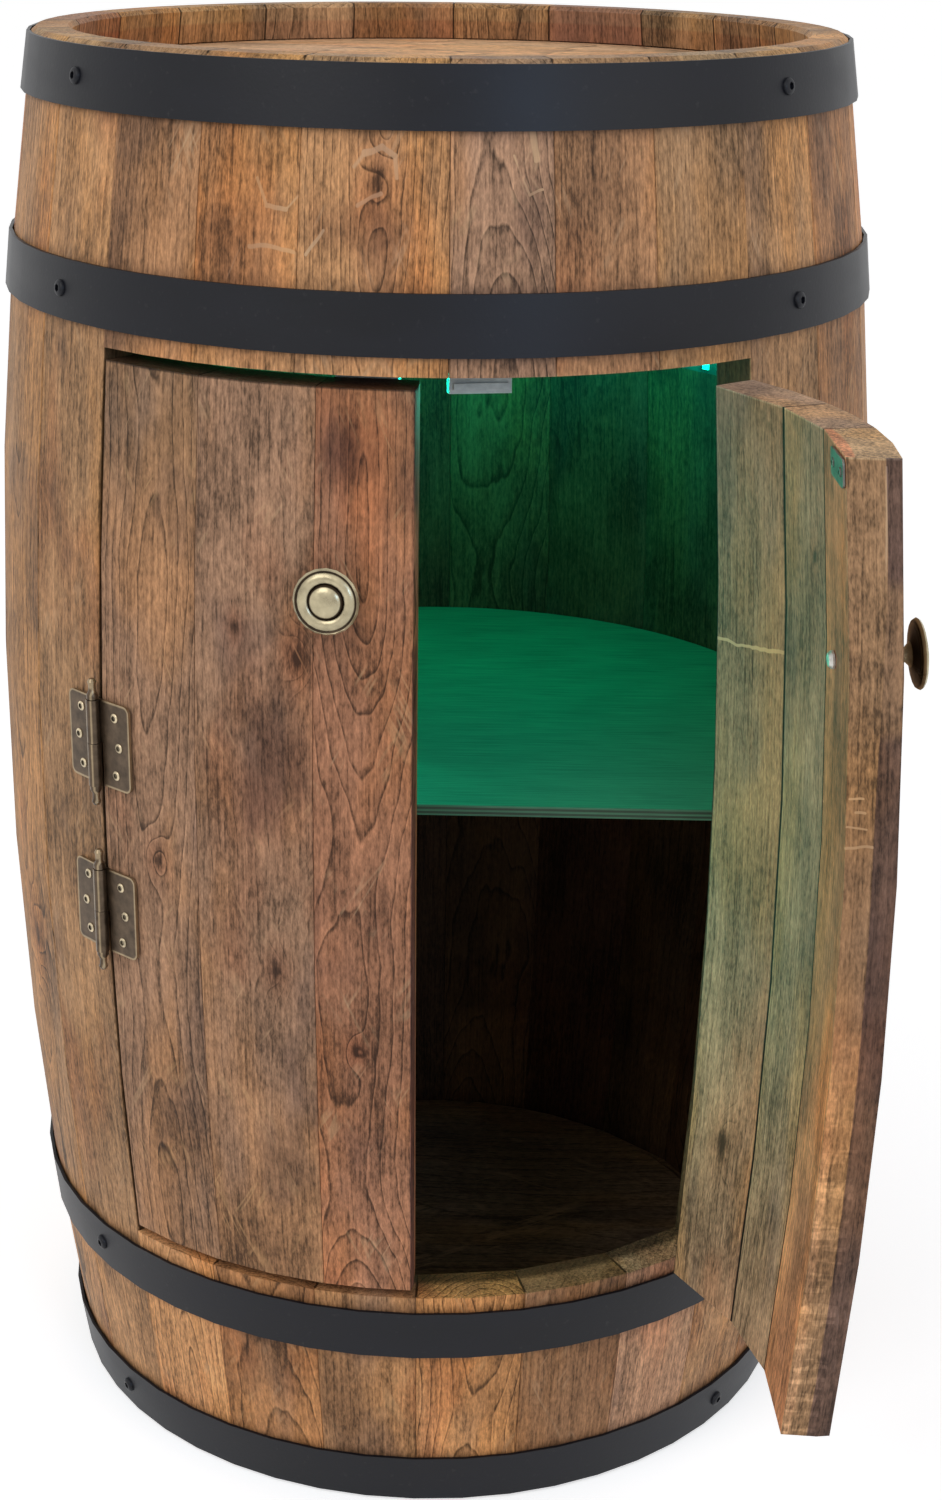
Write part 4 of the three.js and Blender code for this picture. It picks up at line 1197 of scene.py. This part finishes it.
class LightOperator(bpy.types.Operator):
    """Finishes the light strip, sets its diodes along it and lights the inside green"""

    bl_idname = "cabinet.light"
    bl_label = "Light strip"

    def execute(self, context):
        settings = context.scene.stage_settings
        glow = tuple(context.scene.cabinet_colours.light)
        diodes, lamps, inset = 42, 7, 80 * MM
        cover, cloud = two_toned("strip_cover", 90, 2.0, (0.10, 0.14, 0.12), (0.17, 0.22, 0.19), 0.3)
        cover.rough(cloud, 0.2, 0.4)
        surface_of("light_strip", cover.material, crease=30)
        low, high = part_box("light_strip")
        middle = Vector((0, 0, (low.z + high.z) / 2))
        diode = self.diode()
        places = [seat_on("light_strip", middle, outward(angle)) for angle in self.spread(diodes)]
        lit, _ = two_toned("diode_glow", 400, 1.0, (0.3, 0.9, 0.6), (0.5, 1.0, 0.75))
        lit.shader.inputs["Emission Color"].default_value = rgba(glow)
        lit.shader.inputs["Emission Strength"].default_value = 2.0
        set_out(diode, "light_strip_diodes", places, "cabinet", lit.material)
        discard(diode)
        green = linear(glow)
        power = settings.inside_light / lamps
        for number, angle in enumerate(self.spread(lamps), 1):
            place = outward(angle) * (high.x - inset) + middle
            add_lamp(f"strip_lamp_{number}", "POINT", place, power, green, shadow_soft_size=8 * MM)
        place, aim = (-0.04, -0.12, 0.40), (0.23, -0.27, 0.40)
        shape = {"shape": "RECTANGLE", "size": 0.1, "size_y": 0.42, "spread": math.radians(110)}
        add_lamp("door_glow", "AREA", place, settings.door_glow, green, aim, **shape)
        return {"FINISHED"}

    # That many angles along the lit part of the strip, which ends short of the opening
    def spread(self, count):
        unlit = 98
        span = math.radians(360 - 2 * unlit)
        return [math.pi + span * (index / (count - 1) - 0.5) for index in range(count)]

    def diode(self):
        bpy.ops.object.select_all(action="DESELECT")
        bpy.ops.mesh.primitive_cube_add(size=1, location=(0, 0, 0.55 * MM))
        diode = bpy.context.object
        diode.scale = (5 * MM, 5 * MM, 1.1 * MM)
        bpy.ops.object.transform_apply(location=True, rotation=True, scale=True)
        open_top(diode)
        bpy.ops.mesh.inset(thickness=0.6 * MM)
        raise_faces(0.5 * MM, 0.8)
        return close(diode)


class StageOperator(bpy.types.Operator):
    """Sets the pale floor, the soft light and the camera"""

    bl_idname = "cabinet.stage"
    bl_label = "Stage"

    def execute(self, context):
        settings = context.scene.stage_settings
        context.scene.view_settings.view_transform = "Standard"
        self.floor()
        self.room(settings.room_light)
        blue = (0.35, 0.6, 1.0)
        lamps = [
            ("window_lamp", (-1.5, -2.1, 2.3), settings.key_light, WHITE, 1.8),
            ("fill_lamp", (1.9, -1.6, 1.5), settings.fill_light, WHITE, 1.6),
            ("blue_window", (0.96, -2.17, 1.18), settings.blue_light, blue, 0.45),
        ]
        middle = (0, 0, 0.42)
        for name, place, power, colour, size in lamps:
            add_lamp(name, "AREA", place, power, colour, middle, size=size)
        lens = bpy.data.cameras.new("front_camera")
        lens.sensor_fit = "VERTICAL"
        lens.sensor_height = 36.0
        lens.lens = settings.camera_lens
        camera = add_object("front_camera", lens)
        aim = Euler((math.pi / 2 - settings.camera_tilt, 0, settings.camera_turn)).to_matrix()
        roll = Matrix.Rotation(settings.camera_roll, 3, "Z")
        camera.rotation_euler = (aim @ roll).to_euler()
        camera.location = settings.camera_place
        context.scene.camera = camera
        return {"FINISHED"}

    # White to the camera and in reflections, plain grey light on everything else
    def room(self, strength):
        world = bpy.context.scene.world or bpy.data.worlds.new("room")
        bpy.context.scene.world = world
        world.use_nodes = True
        nodes = Nodes(world.node_tree)
        background = nodes.tree.nodes["Background"].inputs
        background["Color"].default_value = (1, 1, 1, 1)
        inputs = [("Value", nodes.seen()), ("To Min", strength), ("To Max", 1.0)]
        nodes.tree.links.new(nodes.node("ShaderNodeMapRange", inputs), background["Strength"])

    def floor(self):
        bpy.ops.object.select_all(action="DESELECT")
        bpy.ops.mesh.primitive_plane_add(size=60)
        floor = bpy.context.object
        floor.name = "floor"
        finish = bpy.data.materials.new("pale_floor")
        finish.use_nodes = True
        nodes = Nodes(finish.node_tree)
        shader = nodes.tree.nodes["Principled BSDF"].inputs
        shader["Base Color"].default_value = (0.8, 0.8, 0.8, 1)
        shader["Roughness"].default_value = 0.9
        shader["Specular IOR Level"].default_value = 0.0
        shader["Emission Color"].default_value = (1, 1, 1, 1)
        nodes.tree.links.new(nodes.times(nodes.seen(), 0.56), shader["Emission Strength"])
        paint(floor, finish)


OPERATORS = [
    StavesOperator,
    LidOperator,
    ShelfOperator,
    HoopsOperator,
    HingesOperator,
    KnobsOperator,
    CatchesOperator,
    LightOperator,
    StageOperator,
]


class CabinetPanel(bpy.types.Panel):
    bl_idname = "VIEW3D_PT_cabinet"
    bl_label = "Barrel cabinet"
    bl_space_type = "VIEW_3D"
    bl_region_type = "UI"
    bl_category = "Barrel cabinet"

    def draw(self, context):
        for group in SETTINGS:
            settings = getattr(context.scene, group)
            box = self.layout.box()
            for key in settings.bl_rna.properties.keys():
                if key not in {"rna_type", "name"}:
                    box.prop(settings, key)
        for operator in OPERATORS:
            self.layout.operator(operator.bl_idname)


SETTINGS = {
    "barrel_sizes": BarrelSizes,
    "screw_sizes": ScrewSizes,
    "cabinet_colours": CabinetColours,
    "stage_settings": StageSettings,
}


def register():
    for group in SETTINGS.values():
        bpy.utils.register_class(group)
    for name, group in SETTINGS.items():
        setattr(bpy.types.Scene, name, bpy.props.PointerProperty(type=group))
    for operator in OPERATORS:
        bpy.utils.register_class(operator)
    bpy.utils.register_class(CabinetPanel)


def unregister():
    bpy.utils.unregister_class(CabinetPanel)
    for operator in reversed(OPERATORS):
        bpy.utils.unregister_class(operator)
    for name in SETTINGS:
        delattr(bpy.types.Scene, name)
    for group in SETTINGS.values():
        bpy.utils.unregister_class(group)


def main():
    register()
    bpy.ops.cabinet.stage()
    bpy.ops.cabinet.staves()
    bpy.ops.cabinet.lid()
    bpy.ops.cabinet.shelf()
    bpy.ops.cabinet.hoops()
    bpy.ops.cabinet.hinges()
    bpy.ops.cabinet.knobs()
    bpy.ops.cabinet.catches()
    bpy.ops.cabinet.light()


if __name__ == "__main__":
    main()
